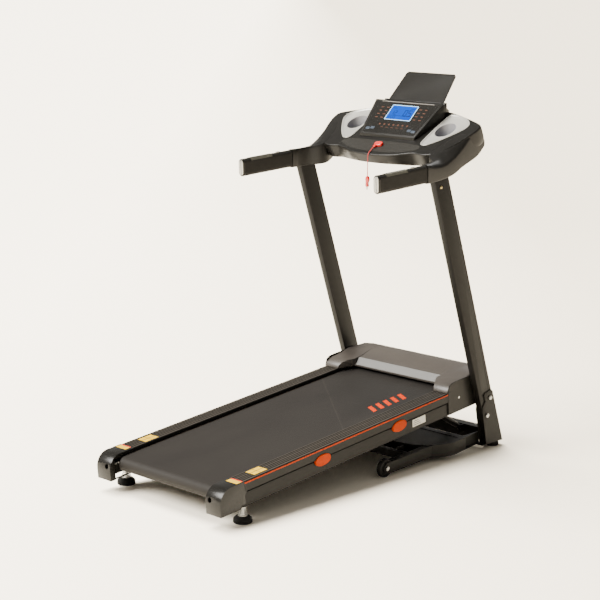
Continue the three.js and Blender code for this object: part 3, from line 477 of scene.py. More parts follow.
def moulded(name, colour, roughness=0.42, grain=0.25, scale=1300.0, **constants):
    """Fine-grained moulded plastic, slightly cloudy, with a trace of dust."""
    f = Finish(name, **constants)
    cloud = f.noise(9.0, 4.0)
    fine = f.noise(scale, 2.0)
    f.feed("Base Color", f.mix(cloud, shade(colour, 0.85), shade(colour, 1.2)))
    f.feed("Roughness", (cloud - 0.5) * 0.16 + (fine - 0.5) * 0.08 + roughness)
    f.bump(fine, grain, 0.12)
    return f.material


def powder_coat(name, colour, roughness=0.4):
    """Satin powder coat with orange peel and rubbed specks."""
    f = Finish(name, Specular_IOR_Level=0.12)
    peel = f.noise(420.0, 3.0)
    cloud = f.noise(5.0, 5.0)
    speck = f.noise(900.0, 1.0) > 0.72
    f.feed("Base Color", f.mix(cloud, shade(colour, 0.8), shade(colour, 1.25)))
    f.feed("Roughness", (cloud - 0.5) * 0.2 + speck * 0.12 + roughness)
    f.bump(peel, 0.22, 0.15)
    return f.material


def brushed_metal(name, colour, roughness=0.28, stretch=(60.0, 2600.0, 2600.0)):
    """Ground metal with long fine scratches."""
    f = Finish(name, Metallic=1.0)
    lines = f.noise(1.0, 3.0, f.stretched(stretch))
    cloud = f.noise(30.0, 3.0)
    f.feed("Base Color", f.mix(lines * 0.7 + cloud * 0.3, shade(colour, 0.72), shade(colour, 1.15)))
    f.feed("Roughness", (lines - 0.5) * 0.22 + (cloud - 0.5) * 0.12 + roughness)
    f.bump(lines, 0.15, 0.05)
    return f.material


def silver_paint(name, colour, metallic=0.5):
    """Silver painted plastic with fine flake."""
    f = Finish(name, Metallic=metallic, Coat_Weight=0.35, Coat_Roughness=0.15)
    flake = f.noise(2600.0, 1.0)
    cloud = f.noise(14.0, 3.0)
    f.feed("Base Color", f.mix(flake * 0.7 + cloud * 0.3, shade(colour, 0.75), shade(colour, 1.2)))
    f.feed("Roughness", (flake - 0.5) * 0.2 + 0.36)
    f.bump(flake, 0.06, 0.04)
    return f.material


def rubber(name, colour, roughness=0.72):
    f = Finish(name, Specular_IOR_Level=0.15)
    fine = f.noise(700.0, 3.0)
    cloud = f.noise(22.0, 4.0)
    f.feed("Base Color", f.mix(cloud, shade(colour, 0.7), shade(colour, 1.6)))
    f.feed("Roughness", (cloud - 0.5) * 0.2 + roughness)
    f.bump(fine, 0.35, 0.2)
    return f.material


def foam(name, colour):
    """Closed-cell handle foam."""
    f = Finish(name, Specular_IOR_Level=0.15)
    cells = f.node("ShaderNodeTexVoronoi", sockets={"Scale": 900.0, "Vector": f.place()}, output="Distance")
    cloud = f.noise(25.0, 3.0)
    f.feed("Base Color", f.mix(cloud, shade(colour, 0.8), shade(colour, 1.35)))
    f.feed("Roughness", (cloud - 0.5) * 0.15 + 0.68)
    f.bump(cells, 0.5, 0.3)
    return f.material


def belt_cover(name, colour):
    """The running belt: a fine diamond emboss and one slanting welded seam."""
    f = Finish(name, Specular_IOR_Level=0.12)
    x, y, _ = f.axes()
    pitch = 2 * math.pi / 0.0026
    weave = ((x + y) * pitch).sine() * ((x - y) * pitch).sine()
    wear = f.noise(4.0, 5.0, f.stretched((2.2, 0.8, 1.0)))
    fine = f.noise(650.0, 2.0)
    across = abs((x + 0.191) * 0.641 + (y - 0.297) * 0.7675)
    seam = across < 0.0009
    base = f.mix(wear * 0.7 + fine * 0.3, shade(colour, 0.72), shade(colour, 1.4))
    f.feed("Base Color", f.mix(seam * 0.5, base, shade(colour, 2.6)))
    f.feed("Roughness", (wear - 0.5) * 0.2 + 0.6 + weave * 0.05)
    f.bump(weave * 0.5 + fine * 0.6 - seam * 2.0, 0.35, 0.18)
    return f.material


def board_wood(name, colour, grain_colour):
    f = Finish(name)
    grain = f.noise(1.0, 5.0, f.stretched((90.0, 6.0, 90.0)))
    f.feed("Base Color", f.mix(grain, colour, grain_colour))
    f.feed("Roughness", grain * 0.2 + 0.45)
    f.bump(grain, 0.2, 0.2)
    return f.material


def ribbed_rail(name, colour):
    """Black moulding whose top faces are painted paler, as lit from above, with painted highlights along the
    crowns of the ribs on its top.
    """
    f = Finish(name, Specular_IOR_Level=0.14)
    x, _, _ = f.axes()
    cloud = f.noise(9.0, 4.0)
    # Painted highlights: paler lines along the crowns of the ribs.
    crown = abs((abs(x) - 0.2505) % 0.018 - 0.009) < 0.0034
    # Painted light: faces that turn upwards get a paler colour, as lit from above.
    top = f.facing_up() > 0.8
    base = f.mix(top, f.mix(cloud, shade(colour, 0.9), shade(colour, 1.4)), rgb("221f1b"))
    f.feed("Base Color", f.mix(crown * top * 0.45, base, rgb("3a352f")))
    f.feed("Roughness", (cloud - 0.5) * 0.16 + 0.42)
    f.bump(f.noise(900.0, 2.0), 0.2, 0.12)
    return f.material


def grille_plastic(name, colour):
    """Black moulding pricked with a close pattern of sound holes, each painted near black as the shade inside
    it.
    """
    f = Finish(name, Specular_IOR_Level=0.2)
    x, y, _ = f.axes()
    pitch = 0.0046
    along, across = x % pitch, y % pitch
    shaded_hole = ((along - pitch / 2) * (along - pitch / 2) + (across - pitch / 2) * (across - pitch / 2)) < 1.9e-6
    cloud = f.noise(12.0, 3.0)
    # Painted shade: the holes are coloured near black, as the shade inside them.
    f.feed("Base Color", f.mix(shaded_hole, shade(colour, 1.9), shade(colour, 0.15)))
    f.feed("Roughness", (cloud - 0.5) * 0.15 + 0.5)
    f.bump(1.0 - shaded_hole, 0.6, 0.8)
    return f.material


def printed(name, colour, roughness=0.4):
    """Printed film, a little worn."""
    f = Finish(name, Specular_IOR_Level=0.06)
    wear = f.noise(60.0, 4.0)
    f.feed("Base Color", f.mix(wear, shade(colour, 0.86), shade(colour, 1.1)))
    f.feed("Roughness", (wear - 0.5) * 0.2 + roughness)
    f.bump(f.noise(500.0, 2.0), 0.08, 0.05)
    return f.material


def braided(name, colour):
    f = Finish(name, Sheen_Weight=0.3, Sheen_Roughness=0.4)
    x, y, z = f.axes()
    braid = ((z + x) * 5200.0).sine() * ((z - x) * 5200.0 + y * 3600.0).sine()
    f.feed("Base Color", f.mix(braid * 0.5 + 0.5, shade(colour, 0.55), shade(colour, 1.2)))
    f.feed("Roughness", braid * 0.06 + 0.62)
    f.bump(braid, 0.5, 0.2)
    return f.material


def lit_screen(name, colour, edge):
    """A backlit liquid crystal: fine rows of dots and a slightly cloudy glow."""
    f = Finish(name, Specular_IOR_Level=0.05, Emission_Strength=1.0)
    x, y, _ = f.axes()
    rows = (y * 5200.0).sine() * 0.04 + (x * 5200.0).sine() * 0.04
    glow = f.noise(16.0, 2.0)
    lit = f.mix(glow + rows, edge, colour)
    f.feed("Base Color", f.mix(rows, shade(edge, 0.04), shade(colour, 0.08)))
    f.feed("Emission Color", lit)
    f.feed("Roughness", glow * 0.08 + 0.1)
    return f.material


def circuit_board(name, colour, track_colour):
    f = Finish(name)
    tracks = f.node("ShaderNodeTexBrick", sockets={"Scale": 60.0, "Vector": f.place(), "Mortar Size": 0.03},
                    output="Fac")
    f.feed("Base Color", f.mix(tracks, colour, track_colour))
    f.feed("Roughness", tracks * -0.2 + 0.55)
    f.bump(tracks, 0.3, 0.2)
    return f.material


def finish_table():
    """Each finish by name: the function that makes it, its colour and its other settings."""
    looks = bpy.context.scene.treadmill_looks
    black, hood, belt, silver, orange, red = (
        tuple(getattr(looks, name)) + (1.0,) for name in ("black", "hood", "belt", "silver", "orange", "red"))
    return {
        "frame_paint": (powder_coat, black, {}),
        "motor_paint": (powder_coat, rgb("34373b"), {"roughness": 0.45}),
        "satin_plastic": (moulded, shade(black, 1.1), {"roughness": 0.38, "Specular_IOR_Level": 0.15}),
        "gloss_plastic": (moulded, shade(black, 0.9), {
            "roughness": 0.26, "grain": 0.05, "Specular_IOR_Level": 0.2}),
        "dash_plastic": (moulded, shade(black, 0.8), {
            "roughness": 0.34, "grain": 0.2, "scale": 1500.0, "Specular_IOR_Level": 0.2}),
        "hood_plastic": (moulded, hood, {
            "roughness": 0.42, "grain": 0.3, "scale": 1100.0, "Specular_IOR_Level": 0.35}),
        # A pale plastic for the strip painted as the highlight along the display housing's top edge.
        "ledge_plastic": (moulded, rgb("5c5853"), {"roughness": 0.3, "grain": 0.1, "scale": 1200.0}),
        "cup_plastic": (moulded, rgb("66666a"), {"roughness": 0.3, "grain": 0.08, "scale": 1000.0}),
        "orange_plastic": (moulded, orange, {
            "roughness": 0.5, "grain": 0.1, "scale": 1200.0, "Specular_IOR_Level": 0.05}),
        "red_plastic": (moulded, red, {
            "roughness": 0.3, "grain": 0.06, "scale": 1200.0, "Coat_Weight": 0.4, "Coat_Roughness": 0.1}),
        "rail_plastic": (ribbed_rail, black, {}),
        "grille_plastic": (grille_plastic, shade(black, 1.4), {}),
        "bright_steel": (brushed_metal, rgb("b9b9b7"), {}),
        "brass": (brushed_metal, rgb("a08f62"), {"roughness": 0.3}),
        "pulse_metal": (brushed_metal, rgb("8f8b7c"), {"roughness": 0.22, "stretch": (2000.0, 50.0, 2000.0)}),
        "trim_metal": (silver_paint, rgb("545351"), {"metallic": 0.1}),
        "silver_paint": (silver_paint, silver, {}),
        "black_rubber": (rubber, rgb("0f0f0e"), {}),
        "tyre_rubber": (rubber, rgb("121110"), {"roughness": 0.6}),
        "grip_foam": (foam, rgb("12110f"), {}),
        "belt_cover": (belt_cover, belt, {}),
        # The board is coloured near black as painted shade, for the strip of it that shows in the shaded gap
        # between the belt and the rails.
        "board_wood": (board_wood, rgb("1c1815"), {"grain_colour": rgb("2a231c")}),
        "orange_film": (printed, orange, {"roughness": 0.5}),
        "dash_film": (printed, rgb("982600"), {"roughness": 0.5}),
        "yellow_film": (printed, rgb("a5841e"), {}),
        "red_film": (printed, rgb("a02c1c"), {}),
        "white_film": (printed, rgb("c4c2ba"), {"roughness": 0.45}),
        "ink_film": (printed, rgb("40291f"), {"roughness": 0.45}),
        "dark_film": (printed, rgb("10141c"), {}),
        "blue_film": (printed, rgb("2e343c"), {"roughness": 0.3}),
        "screen_white": (printed, rgb("7ea4c4"), {"roughness": 0.3}),
        "screen_blue": (lit_screen, rgb("0072ff"), {"edge": rgb("005af0")}),
        "red_braid": (braided, red, {}),
        "circuit_board": (circuit_board, rgb("14532d"), {"track_colour": rgb("8d9a5b")}),
    }


FINISHES = {}


def finish(name):
    """Each finish is made once, from the colours that the settings give."""
    if name not in FINISHES:
        maker, colour, options = finish_table()[name]
        FINISHES[name] = maker(name, colour, **options)
    return FINISHES[name]


# ---------------------------------------------------------------- settings
def colour_setting(name, text, default):
    return bpy.props.FloatVectorProperty(name=name, description=text, default=default[:3], size=3,
                                         subtype="COLOR", min=0.0, max=1.0)


class TreadmillLooks(bpy.types.PropertyGroup):
    """Colours that a user would change."""
    black: colour_setting("Black", "Paint and mouldings", rgb("100f0d"))
    hood: colour_setting("Hood", "Motor hood moulding", rgb("2f2b27"))
    belt: colour_setting("Belt", "Running belt cover", rgb("191715"))
    silver: colour_setting("Silver", "Trays and trim", rgb("9b9993"))
    orange: colour_setting("Orange", "Stripe, ovals and dashes", rgb("9c3000"))
    red: colour_setting("Red", "Safety key and lanyard", rgb("a00b06"))
    floor: colour_setting("Floor", "Studio floor", (0.98, 0.9, 0.75))


class TreadmillSizes(bpy.types.PropertyGroup):
    """Sizes that a user would change."""
    edge: bpy.props.FloatProperty(name="Tube edge", description="Rounding of the frame's tube edges",
                                  default=0.0025, min=0.0005, max=0.004, subtype="DISTANCE", unit="LENGTH")
    lens: bpy.props.FloatProperty(name="Lens", description="Focal length of the camera, in millimetres",
                                  default=99.93, min=20.0, max=300.0)
    daylight: bpy.props.FloatProperty(name="Daylight", description="Strength of the even studio light",
                                      default=0.46, min=0.0, max=10.0)


# ---------------------------------------------------------------- camera, light and floor
CAMERA_PLACE = (3.9797, -4.2345, 1.7858)
CAMERA_WAY = (-0.6746, 0.7110, -0.1983)
CAMERA_ROLL = math.radians(0.503)
# Each sun's name, the place it shines from, its strength and its spread in degrees.
SUNS = (("window_light", (-2.3, -3.6, 4.6), 12.5, 36.0), ("top_light", (-2.0, 0.3, 5.0), 13.5, 32.0))
SUN_COLOUR = (1.0, 0.972, 0.92)


class TREADMILL_OT_stage(bpy.types.Operator):
    """Sets up the pale floor, the soft studio light and the camera"""
    bl_idname = "treadmill.stage"
    bl_label = "Stage"

    def execute(self, context):
        sizes, looks = context.scene.treadmill_sizes, context.scene.treadmill_looks
        bm = bmesh.new()
        bmesh.ops.create_circle(bm, cap_ends=True, radius=160.0, segments=96)
        mesh = bpy.data.meshes.new("studio_floor")
        bm.to_mesh(mesh)
        bm.free()
        floor = bpy.data.objects.new("studio_floor", mesh)
        context.scene.collection.objects.link(floor)
        paper = Finish("studio_paper")
        cloud = paper.noise(0.6, 2.0)
        # Painted light: the floor's colour darkens from the left of the view to the right, as if lit more from
        # the left, with a faint random cloud.
        lit_paper = tuple(looks.floor) + (1.0,)
        painted_shade_paper = (lit_paper[0] * 0.62, lit_paper[1] * 0.6, lit_paper[2] * 0.57, 1.0)
        x, y, _ = paper.axes()
        across = x * 0.24 + y * 0.23 + 0.45 + cloud * 0.02
        paper.feed("Base Color", paper.mix(across, lit_paper, painted_shade_paper))
        paper.feed("Roughness", cloud * 0.1 + 0.8)
        floor.data.materials.append(paper.material)

        world = bpy.data.worlds.new("studio")
        context.scene.world = world
        world.use_nodes = True
        back = world.node_tree.nodes["Background"]
        back.inputs["Color"].default_value = (1.0, 0.965, 0.9, 1.0)
        back.inputs["Strength"].default_value = sizes.daylight

        for name, place, energy, spread in SUNS:
            sun = bpy.data.lights.new(name, "SUN")
            sun.energy, sun.angle, sun.color = energy, math.radians(spread), SUN_COLOUR
            lamp = self.aim(sun, place)
            lamp.visible_glossy = name != "top_light"
        rim = bpy.data.lights.new("rim_light", "AREA")
        rim.shape, rim.size, rim.energy, rim.color = "DISK", 2.0, 60.0, (1.0, 0.985, 0.96)
        self.aim(rim, (-1.2, 4.4, 3.2))

        data = bpy.data.cameras.new("camera")
        data.lens, data.sensor_width = sizes.lens, 36.0
        data.clip_end = 400.0
        camera = bpy.data.objects.new("camera", data)
        context.scene.collection.objects.link(camera)
        forward = Vector(CAMERA_WAY).normalized()
        side = forward.cross(Vector(UP)).normalized()
        up = side.cross(forward)
        right = side * math.cos(CAMERA_ROLL) + up * math.sin(CAMERA_ROLL)
        top = up * math.cos(CAMERA_ROLL) - side * math.sin(CAMERA_ROLL)
        turn = Matrix((right, top, -forward)).transposed()
        camera.matrix_world = Matrix.Translation(Vector(CAMERA_PLACE)) @ turn.to_4x4()
        context.scene.camera = camera
        return {"FINISHED"}

    def aim(self, data, place):
        """Puts a light at a place, turned to the treadmill."""
        lamp = bpy.data.objects.new(data.name, data)
        bpy.context.scene.collection.objects.link(lamp)
        lamp.location = place
        lamp.rotation_euler = (Vector((0, 0.1, 0.6)) - Vector(place)).to_track_quat("-Z", "Y").to_euler()
        return lamp


# ---------------------------------------------------------------- lanyard and key
CORD_ROUTE = [
    (-0.008, 0.3509, 1.1296), (-0.0078, 0.3465, 1.1272), (-0.007, 0.339, 1.1226), (-0.0058, 0.331, 1.1174),
    (-0.0044, 0.323, 1.1126), (-0.0032, 0.317, 1.1062), (-0.0025, 0.3142, 1.0982), (-0.0021, 0.3136, 1.088),
    (-0.002, 0.3133, 1.076), (-0.002, 0.3132, 1.062), (-0.002, 0.3132, 1.048), (-0.002, 0.3132, 1.0365),
    (-0.002, 0.3132, 1.028),
]
CORD_ACROSS = 0.0032


class TREADMILL_OT_lanyard(bpy.types.Operator):
    """Hangs the red lanyard from the safety key, with its clip"""
    bl_idname = "treadmill.lanyard"
    bl_label = "Lanyard"

    def execute(self, context):
        loop = [(-1.6, 0), (1.6, 0), (5.4, -2.5), (8.4, -8.5), (8.8, -15), (6.0, -21), (4.6, -28), (5.6, -33),
                (4.4, -38.5), (0, -40), (-5.2, -38.5), (-6.6, -32), (-6.0, -22), (-7.4, -13), (-5.6, -4.5)]
        x, y, z = -2.0, 1038.2, 1027.2
        place = lambda a, b, h: spot(x + a, y + h, z + b)
        steps = [(2.2, -5.0), (1.0, -4.6), (0.0, -3.0), (0.0, 3.0), (1.0, 4.6), (2.2, 5.0)]
        clip = slab_piece("lanyard_clip_body", "red_plastic", "key_body", [
            (smooth_loop(loop, 4), steps, place),
            (oval(5.0, 3.0, 0.5, -14), [(0, 4.9), (0.3, 5.4)], place)], stands_for=("lanyard_clip",))
        bm = bmesh.new()
        jaw = [(-4.4, -37.5), (2.6, -37.5), (2.4, -45), (0.4, -50.4), (-3.4, -50.4), (-5.0, -45)]
        add_slab(bm, jaw, [(0.4, -2.0), (0, -1.6), (0, 1.6), (0.4, 2.0)], place)
        add_turned(bm, [(0, 0), (1.6, 0), (1.6, 1.2), (0, 1.2)], place(-1, -41, 1.9), (0, 1, 0), 16)
        jaws = make_piece(bm, "lanyard_clip_jaws", "bright_steel", "key_body")

        path = smooth_line(CORD_ROUTE, 8)
        data = bpy.data.curves.new("lanyard_line", "CURVE")
        data.dimensions, data.bevel_depth, data.bevel_resolution = "3D", CORD_ACROSS / 2, 3
        data.use_fill_caps = True
        line = data.splines.new("POLY")
        line.points.add(len(path) - 1)
        for point, where in zip(line.points, path):
            point.co = tuple(where) + (1.0,)
        cord = bpy.data.objects.new("lanyard_line", data)
        context.scene.collection.objects.link(cord)
        cord.data.materials.append(finish("red_braid"))
        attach(cord, "key_body")
        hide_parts("lanyard_cord")
        length = sum((b - a).length for a, b in zip(path, path[1:]))
        return {"FINISHED"}


class TREADMILL_OT_safety_key(bpy.types.Operator):
    """Makes the red safety key on the dash"""
    bl_idname = "treadmill.safety_key"
    bl_label = "Safety key"

    def execute(self, context):
        seat = (1098 - DASH_Y) / math.cos(SLOPE)
        body = oval(36, 24, 0, seat, 48, 2.6)
        crown = [(1.2, 0.3), (0.2, 1.0), (0, 3.0)] + rounded_edge(3.4, 10.0, 5) + [(5.2, 9.4), (6.4, 8.8)]
        tab = oval(12, 15, -8, seat - 14.5, 28, 2.4)
        slabs = [(body, crown, dash_at),
                 (tab, [(0.6, 2.0), (0, 2.8), (0, 6.0)] + rounded_edge(1.6, 8.0, 3), dash_at)]
        slab_piece("safety_key_cap", "red_plastic", "key_body", slabs, stands_for=("safety_key",))
        return {"FINISHED"}


# ---------------------------------------------------------------- stand
class TREADMILL_OT_stand(bpy.types.Operator):
    """Paints the stand and makes its feet, wheels and bolts"""
    bl_idname = "treadmill.stand"
    bl_label = "Stand"

    def execute(self, context):
        edge = context.scene.treadmill_sizes.edge / MM
        dress("base_frame", "frame_paint", 0.9, 1)
        dress("handle_frame", "frame_paint")
        dress("strut_cylinder", "frame_paint")
        dress("strut_rod", "bright_steel")
        for side, sign in SIDES:
            dress(f"{side}_upright", "frame_paint", edge, 3)
            dress(f"{side}_deck_pivot", "bright_steel")
            self.bolts(side, sign)
            self.front_foot(side, sign)
            self.wheel(side, sign)
        return {"FINISHED"}

    def bolts(self, side, sign):
        """Bright domed bolts on the cheek plates, and one brass bolt high on the upright."""
        out = (sign, 0, 0)
        dress(f"{side}_upright_bolts", "bright_steel")
        low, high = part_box(f"{side}_upright_bolts")
        face = (high[0] if sign > 0 else -low[0]) / MM
        head = [(0, -0.4), (7.0, -0.4), (7.0, 0.4), (5.4, 1.6), (3.4, 1.8), (2.8, 0.8), (0, 0.8)]
        turned_piece(f"{side}_bolt_heads", "bright_steel", "stand", [
            (head, spot(sign * face, y, z), out, 32) for y, z in ((1364.0, 198.0), (1349.5, 131.0))])
        dome = [(0, 0), (6.0, 0), (6.0, 0.8), (4.8, 2.2), (2.4, 3.0), (0, 3.1)]
        turned_piece(f"{side}_upright_top_bolt", "brass", "stand", [
            (dome, spot(sign * 336.5, 1046, 1018), out, 32)])

    def front_foot(self, side, sign):
        """A round pad with three ribs."""
        profile = [(0, 0), (22.5, 0)]
        for z in (1.0, 5.0, 9.0):
            profile += [(24.9, z + 0.8), (24.9, z + 2.4), (23.4, z + 3.0), (23.4, z + 3.6)]
        profile += [(23.0, 14.6), (21.0, 16.6), (0, 16.6)]
        turned_piece(f"{side}_front_pad", "black_rubber", "stand", [
            (profile, spot(sign * 318, 1416, 0), UP, 56)], 30, (f"{side}_front_foot",))

    def wheel(self, side, sign):
        """A tyre, the same on both sides of its middle, and the bolt that it turns on."""
        half = [(4.6, -9.8), (11, -9.8), (12, -8), (13, -7), (24, -7), (25.5, -8.6), (28, -9.9), (31.2, -9.2),
                (32.8, -7), (33, -4)]
        profile = half + [(r, -x) for r, x in reversed(half)]
        turned_piece(f"{side}_wheel_tyre", "tyre_rubber", f"{side}_wheel_body", [
            (profile, spot(sign * 295, 816, 33), (1, 0, 0), 64)], 34, (f"{side}_wheel",))
        dress(f"{side}_wheel_bolt", "bright_steel")
        head = [(0, -0.2), (6.4, -0.2), (6.2, 0.8), (4.6, 1.8), (0, 2.0)]
        turned_piece(f"{side}_wheel_bolt_head", "bright_steel", "stand", [
            (head, spot(sign * 313, 816, 33), (sign, 0, 0), 32)])


# ---------------------------------------------------------------- deck
class TREADMILL_OT_running_deck(bpy.types.Operator):
    """Finishes the running belt, its board, rollers, drive and frame"""
    bl_idname = "treadmill.running_deck"
    bl_label = "Running deck"

    def execute(self, context):
        dress("deck_frame", "frame_paint", 0.8, 1)
        dress("running_board", "board_wood")
        dress("running_belt", "belt_cover")
        for node in ("front_roller", "rear_roller", "front_axle", "rear_axle", "motor_rotor"):
            dress(node, "bright_steel")
        dress("drive_motor", "motor_paint")
        dress("drive_belt", "black_rubber")
        dress("motor_controller", "circuit_board")
        dress("belly_pan", "satin_plastic")
        dress("power_inlet", "satin_plastic")
        dress("power_switch_socket", "satin_plastic")
        dress("power_switch", "red_plastic", 0.6, 2)
        for side, _ in SIDES:
            dress(f"{side}_tension_bolt", "bright_steel")
        self.dashes()
        return {"FINISHED"}

    def dashes(self):
        """Five orange dashes printed across the belt."""
        marks = []
        for k in range(5):
            v = 911 + k * 41
            mark = [(135, v), (186, v - 26), (186, v - 6), (135, v + 20)]
            marks.append((mark, [(0, 75.35), (0.2, 75.55)], deck_at))
        slab_piece("belt_dashes", "dash_film", "deck", marks)


RAIL_FILM = [(0, 87.9), (0.1, 88.25)]  # film laid on top of the foot rails


class TREADMILL_OT_foot_rails(bpy.types.Operator):
    """Makes the foot rails' trim: stripe, ovals, stickers and end caps"""
    bl_idname = "treadmill.foot_rails"
    bl_label = "Foot rails"

    def execute(self, context):
        for side, sign in SIDES:
            place = flank(sign)
            dress(f"{side}_foot_rail", "rail_plastic")
            dress(f"{side}_end_cap", "gloss_plastic", 2.2, 3)
            tongue = [(112, 80), (117, 76.5), (120.5, 70), (122, 61), (120.5, 52), (117, 45.5), (112, 42)]
            slab_piece(f"{side}_cap_tongue", "gloss_plastic", "deck", [
                (tongue, [(0, -5), (0, -0.4), (0.4, 0.0)], place)])
            slab_piece(f"{side}_stripe", "orange_film", "deck", [
                (rectangle(114, 80.2, 1163, 84.4), [(0, -0.2), (0.1, 0.35)], place)])
            self.ovals(side, place)
            self.stickers(side, sign)
        self.label()
        return {"FINISHED"}

    def ovals(self, side, place):
        """Two raised orange ovals on the deck's side."""
        crown, slabs = [(0, -4.5), (0, 1.2)] + rounded_edge(2.0, 3.2), []
        for y, z in ((487.0, 137.0), (886.0, 177.0)):
            v = (y - 5.2) / math.cos(INCLINE)
            w = (z - 44 - v * math.sin(INCLINE)) / math.cos(INCLINE)
            slabs.append((oval(75, 40, v, w, 56, 2.2), crown, place))
        slab_piece(f"{side}_side_ovals", "orange_plastic", "deck", slabs)

    def stickers(self, side, sign):
        """Plain yellow film on the end cap, with a red band, and four blocks on the rail in front of it."""
        yellow = [(249, 84, 300, 106)] + [(x, v, x + 20, v + 29) for v in (176, 207) for x in (247, 269)]
        slab_piece(f"{side}_rail_film", "yellow_film", "deck", [
            (rectangle(sign * x0, v0, sign * x1, v1), RAIL_FILM, deck_at) for x0, v0, x1, v1 in yellow])
        slab_piece(f"{side}_rail_band", "red_film", "deck", [
            (rectangle(sign * 249, 106.4, sign * 300, 112), RAIL_FILM, deck_at)])

    def label(self):
        """A plain white plate with bars on the frame's right side."""
        place = flank(1, 302.0)
        slab_piece("frame_plate", "white_film", "deck", [
            (rounded_rect(72, 27, 2, 998, 31), [(0, -0.1), (0.1, 0.3)], place)])
        bars = [rounded_rect(44 - 8 * k, 2.2, 0.6, 988 - 3 * k, 24 + 7 * k) for k in range(3)]
        slab_piece("frame_plate_bars", "dark_film", "deck", [
            (bar, [(0, 0.2), (0.1, 0.45)], place) for bar in bars])


class TREADMILL_OT_rear_feet(bpy.types.Operator):
    """Makes the ribbed rear pads with their studs and coned springs"""
    bl_idname = "treadmill.rear_feet"
    bl_label = "Rear feet"

    def execute(self, context):
        for side, sign in SIDES:
            body, centre = f"{side}_foot_body", spot(sign * 289.5, 118, 0)
            pad = [(0, 0), (29, 0), (31.6, 1.6), (31.9, 4), (30.4, 4.8), (30.4, 6), (31.9, 6.8), (31.9, 9),
                   (30.4, 9.8), (30.4, 11), (31.7, 11.8), (31.2, 15), (28, 18), (24, 21.5), (21, 23.6), (0, 24)]
            turned_piece(f"{side}_rear_pad", "black_rubber", body, [
                (pad, centre, UP, 72)], 30, (f"{side}_rear_foot",))
            bm = bmesh.new()
            stud = [(0, 24.2), (16.5, 24.2), (16.5, 26.2), (9, 26.6), (8.4, 30.5), (5.6, 31), (5.6, 73.5),
                    (0, 73.8)]
            add_turned(bm, stud, centre, UP, 40)
            path = []
            turns, rise = 4.2, 24.0
            for k in range(181):
                t = k / 180
                angle = 2 * math.pi * turns * t
                r = 16.0 - 6.2 * t
                path.append(centre + Vector((r * math.cos(angle), r * math.sin(angle), 27.6 + rise * t)) * MM)
            add_tube(bm, path, 1.3, 10)
            add_turned(bm, [(5.4, 51.4), (12, 51.4), (12, 52.8), (5.4, 52.8)], centre, UP, 40)
            make_piece(bm, f"{side}_spring_stud", "bright_steel", body, 40, (f"{side}_foot_stud",))
        return {"FINISHED"}


class TREADMILL_OT_motor_hood(bpy.types.Operator):
    """Finishes the motor hood with its silver edge and side screws"""
    bl_idname = "treadmill.motor_hood"
    bl_label = "Motor hood"

    def execute(self, context):
        dress("motor_hood", "hood_plastic", 4.5, 3)
        edge = [(-196, 1.5), (196, 1.5), (210, 37), (-210, 37)]
        slab_piece("hood_edge_trim", "trim_metal", "deck", [
            (edge, [(0, -1.0), (0, 0.8), (0.6, 1.4)], HOOD_TRIM)])
        panel = [(1163, 5), (1163, 66), (1165.5, 96), (1173, 114), (1190, 121.5), (1212, 123), (1300, 123),
                 (1352, 118), (1370, 104), (1372, 60), (1316, 54), (1316, 5)]
        head = [(0, -1), (4.2, -1), (4.2, 1.7), (1.5, 1.9), (1.4, 1.4), (0, 1.4)]
        for side, sign in SIDES:
            slab_piece(f"{side}_side_panel", "satin_plastic", "deck", [
                (panel, [(0, -2.9), (0, 0.5), (0.5, 1.0)], flank(sign))])
            turned_piece(f"{side}_hood_screw", "bright_steel", "deck", [
                (head, spot(sign * 305.6, 1219, 219), (sign, 0, 0), 28)])
        return {"FINISHED"}


# ---------------------------------------------------------------- console
DASH_HALF = [(0, 1045), (60, 1048), (110, 1056), (152, 1069), (186, 1075), (232, 1072), (286, 1094),
             (318, 1142), (340, 1196), (347.5, 1236), (336, 1260), (270, 1284), (190, 1307), (90, 1325),
             (0, 1330)]
GRILLE_HALF = [(0, 1062), (70, 1064), (120, 1071), (160, 1084), (184, 1096), (180, 1112), (150, 1120),
               (60, 1123), (0, 1123)]
TRAY = [(184, 1120), (198, 1121), (213, 1131), (246, 1163), (284, 1212), (295, 1236), (290, 1258),
        (262, 1281), (222, 1296), (190, 1300), (170, 1291), (164, 1240), (166, 1146), (172, 1126)]
CUP_X, CUP_Y = 213, 1216  # the middle of the right cup well
# Sections across a console arm, from the grip's collar to the body's front corner: y, the inner side, the
# underside, where the top begins to fall outwards, and the crease above the flank.
ARM = [(968.5, 310.8, 1036.2, 330, 1103.8, 1098), (985, 310.6, 1036.6, 328, 1104.6, 1096),
       (1000, 310.4, 1037.2, 325, 1105.2, 1094), (1037, 296, 1041, 318, 1109.4, 1094),
       (1066, 262, 1046, 302, 1118.4, 1099), (1090, 252, 1050, 290, 1131.9, 1109),
       (1120, 258, 1058.8, 306, 1148.4, 1124), (1158, 270, 1077, 322, 1169.3, 1150),
       (1200, 292, 1093, 335, 1192.2, 1184), (1232, 304, 1105, 337, 1207.6, 1203),
       (1256, 306, 1118, 337, 1210, 1206), (1284, 306, 1144, 334, 1172, 1168)]


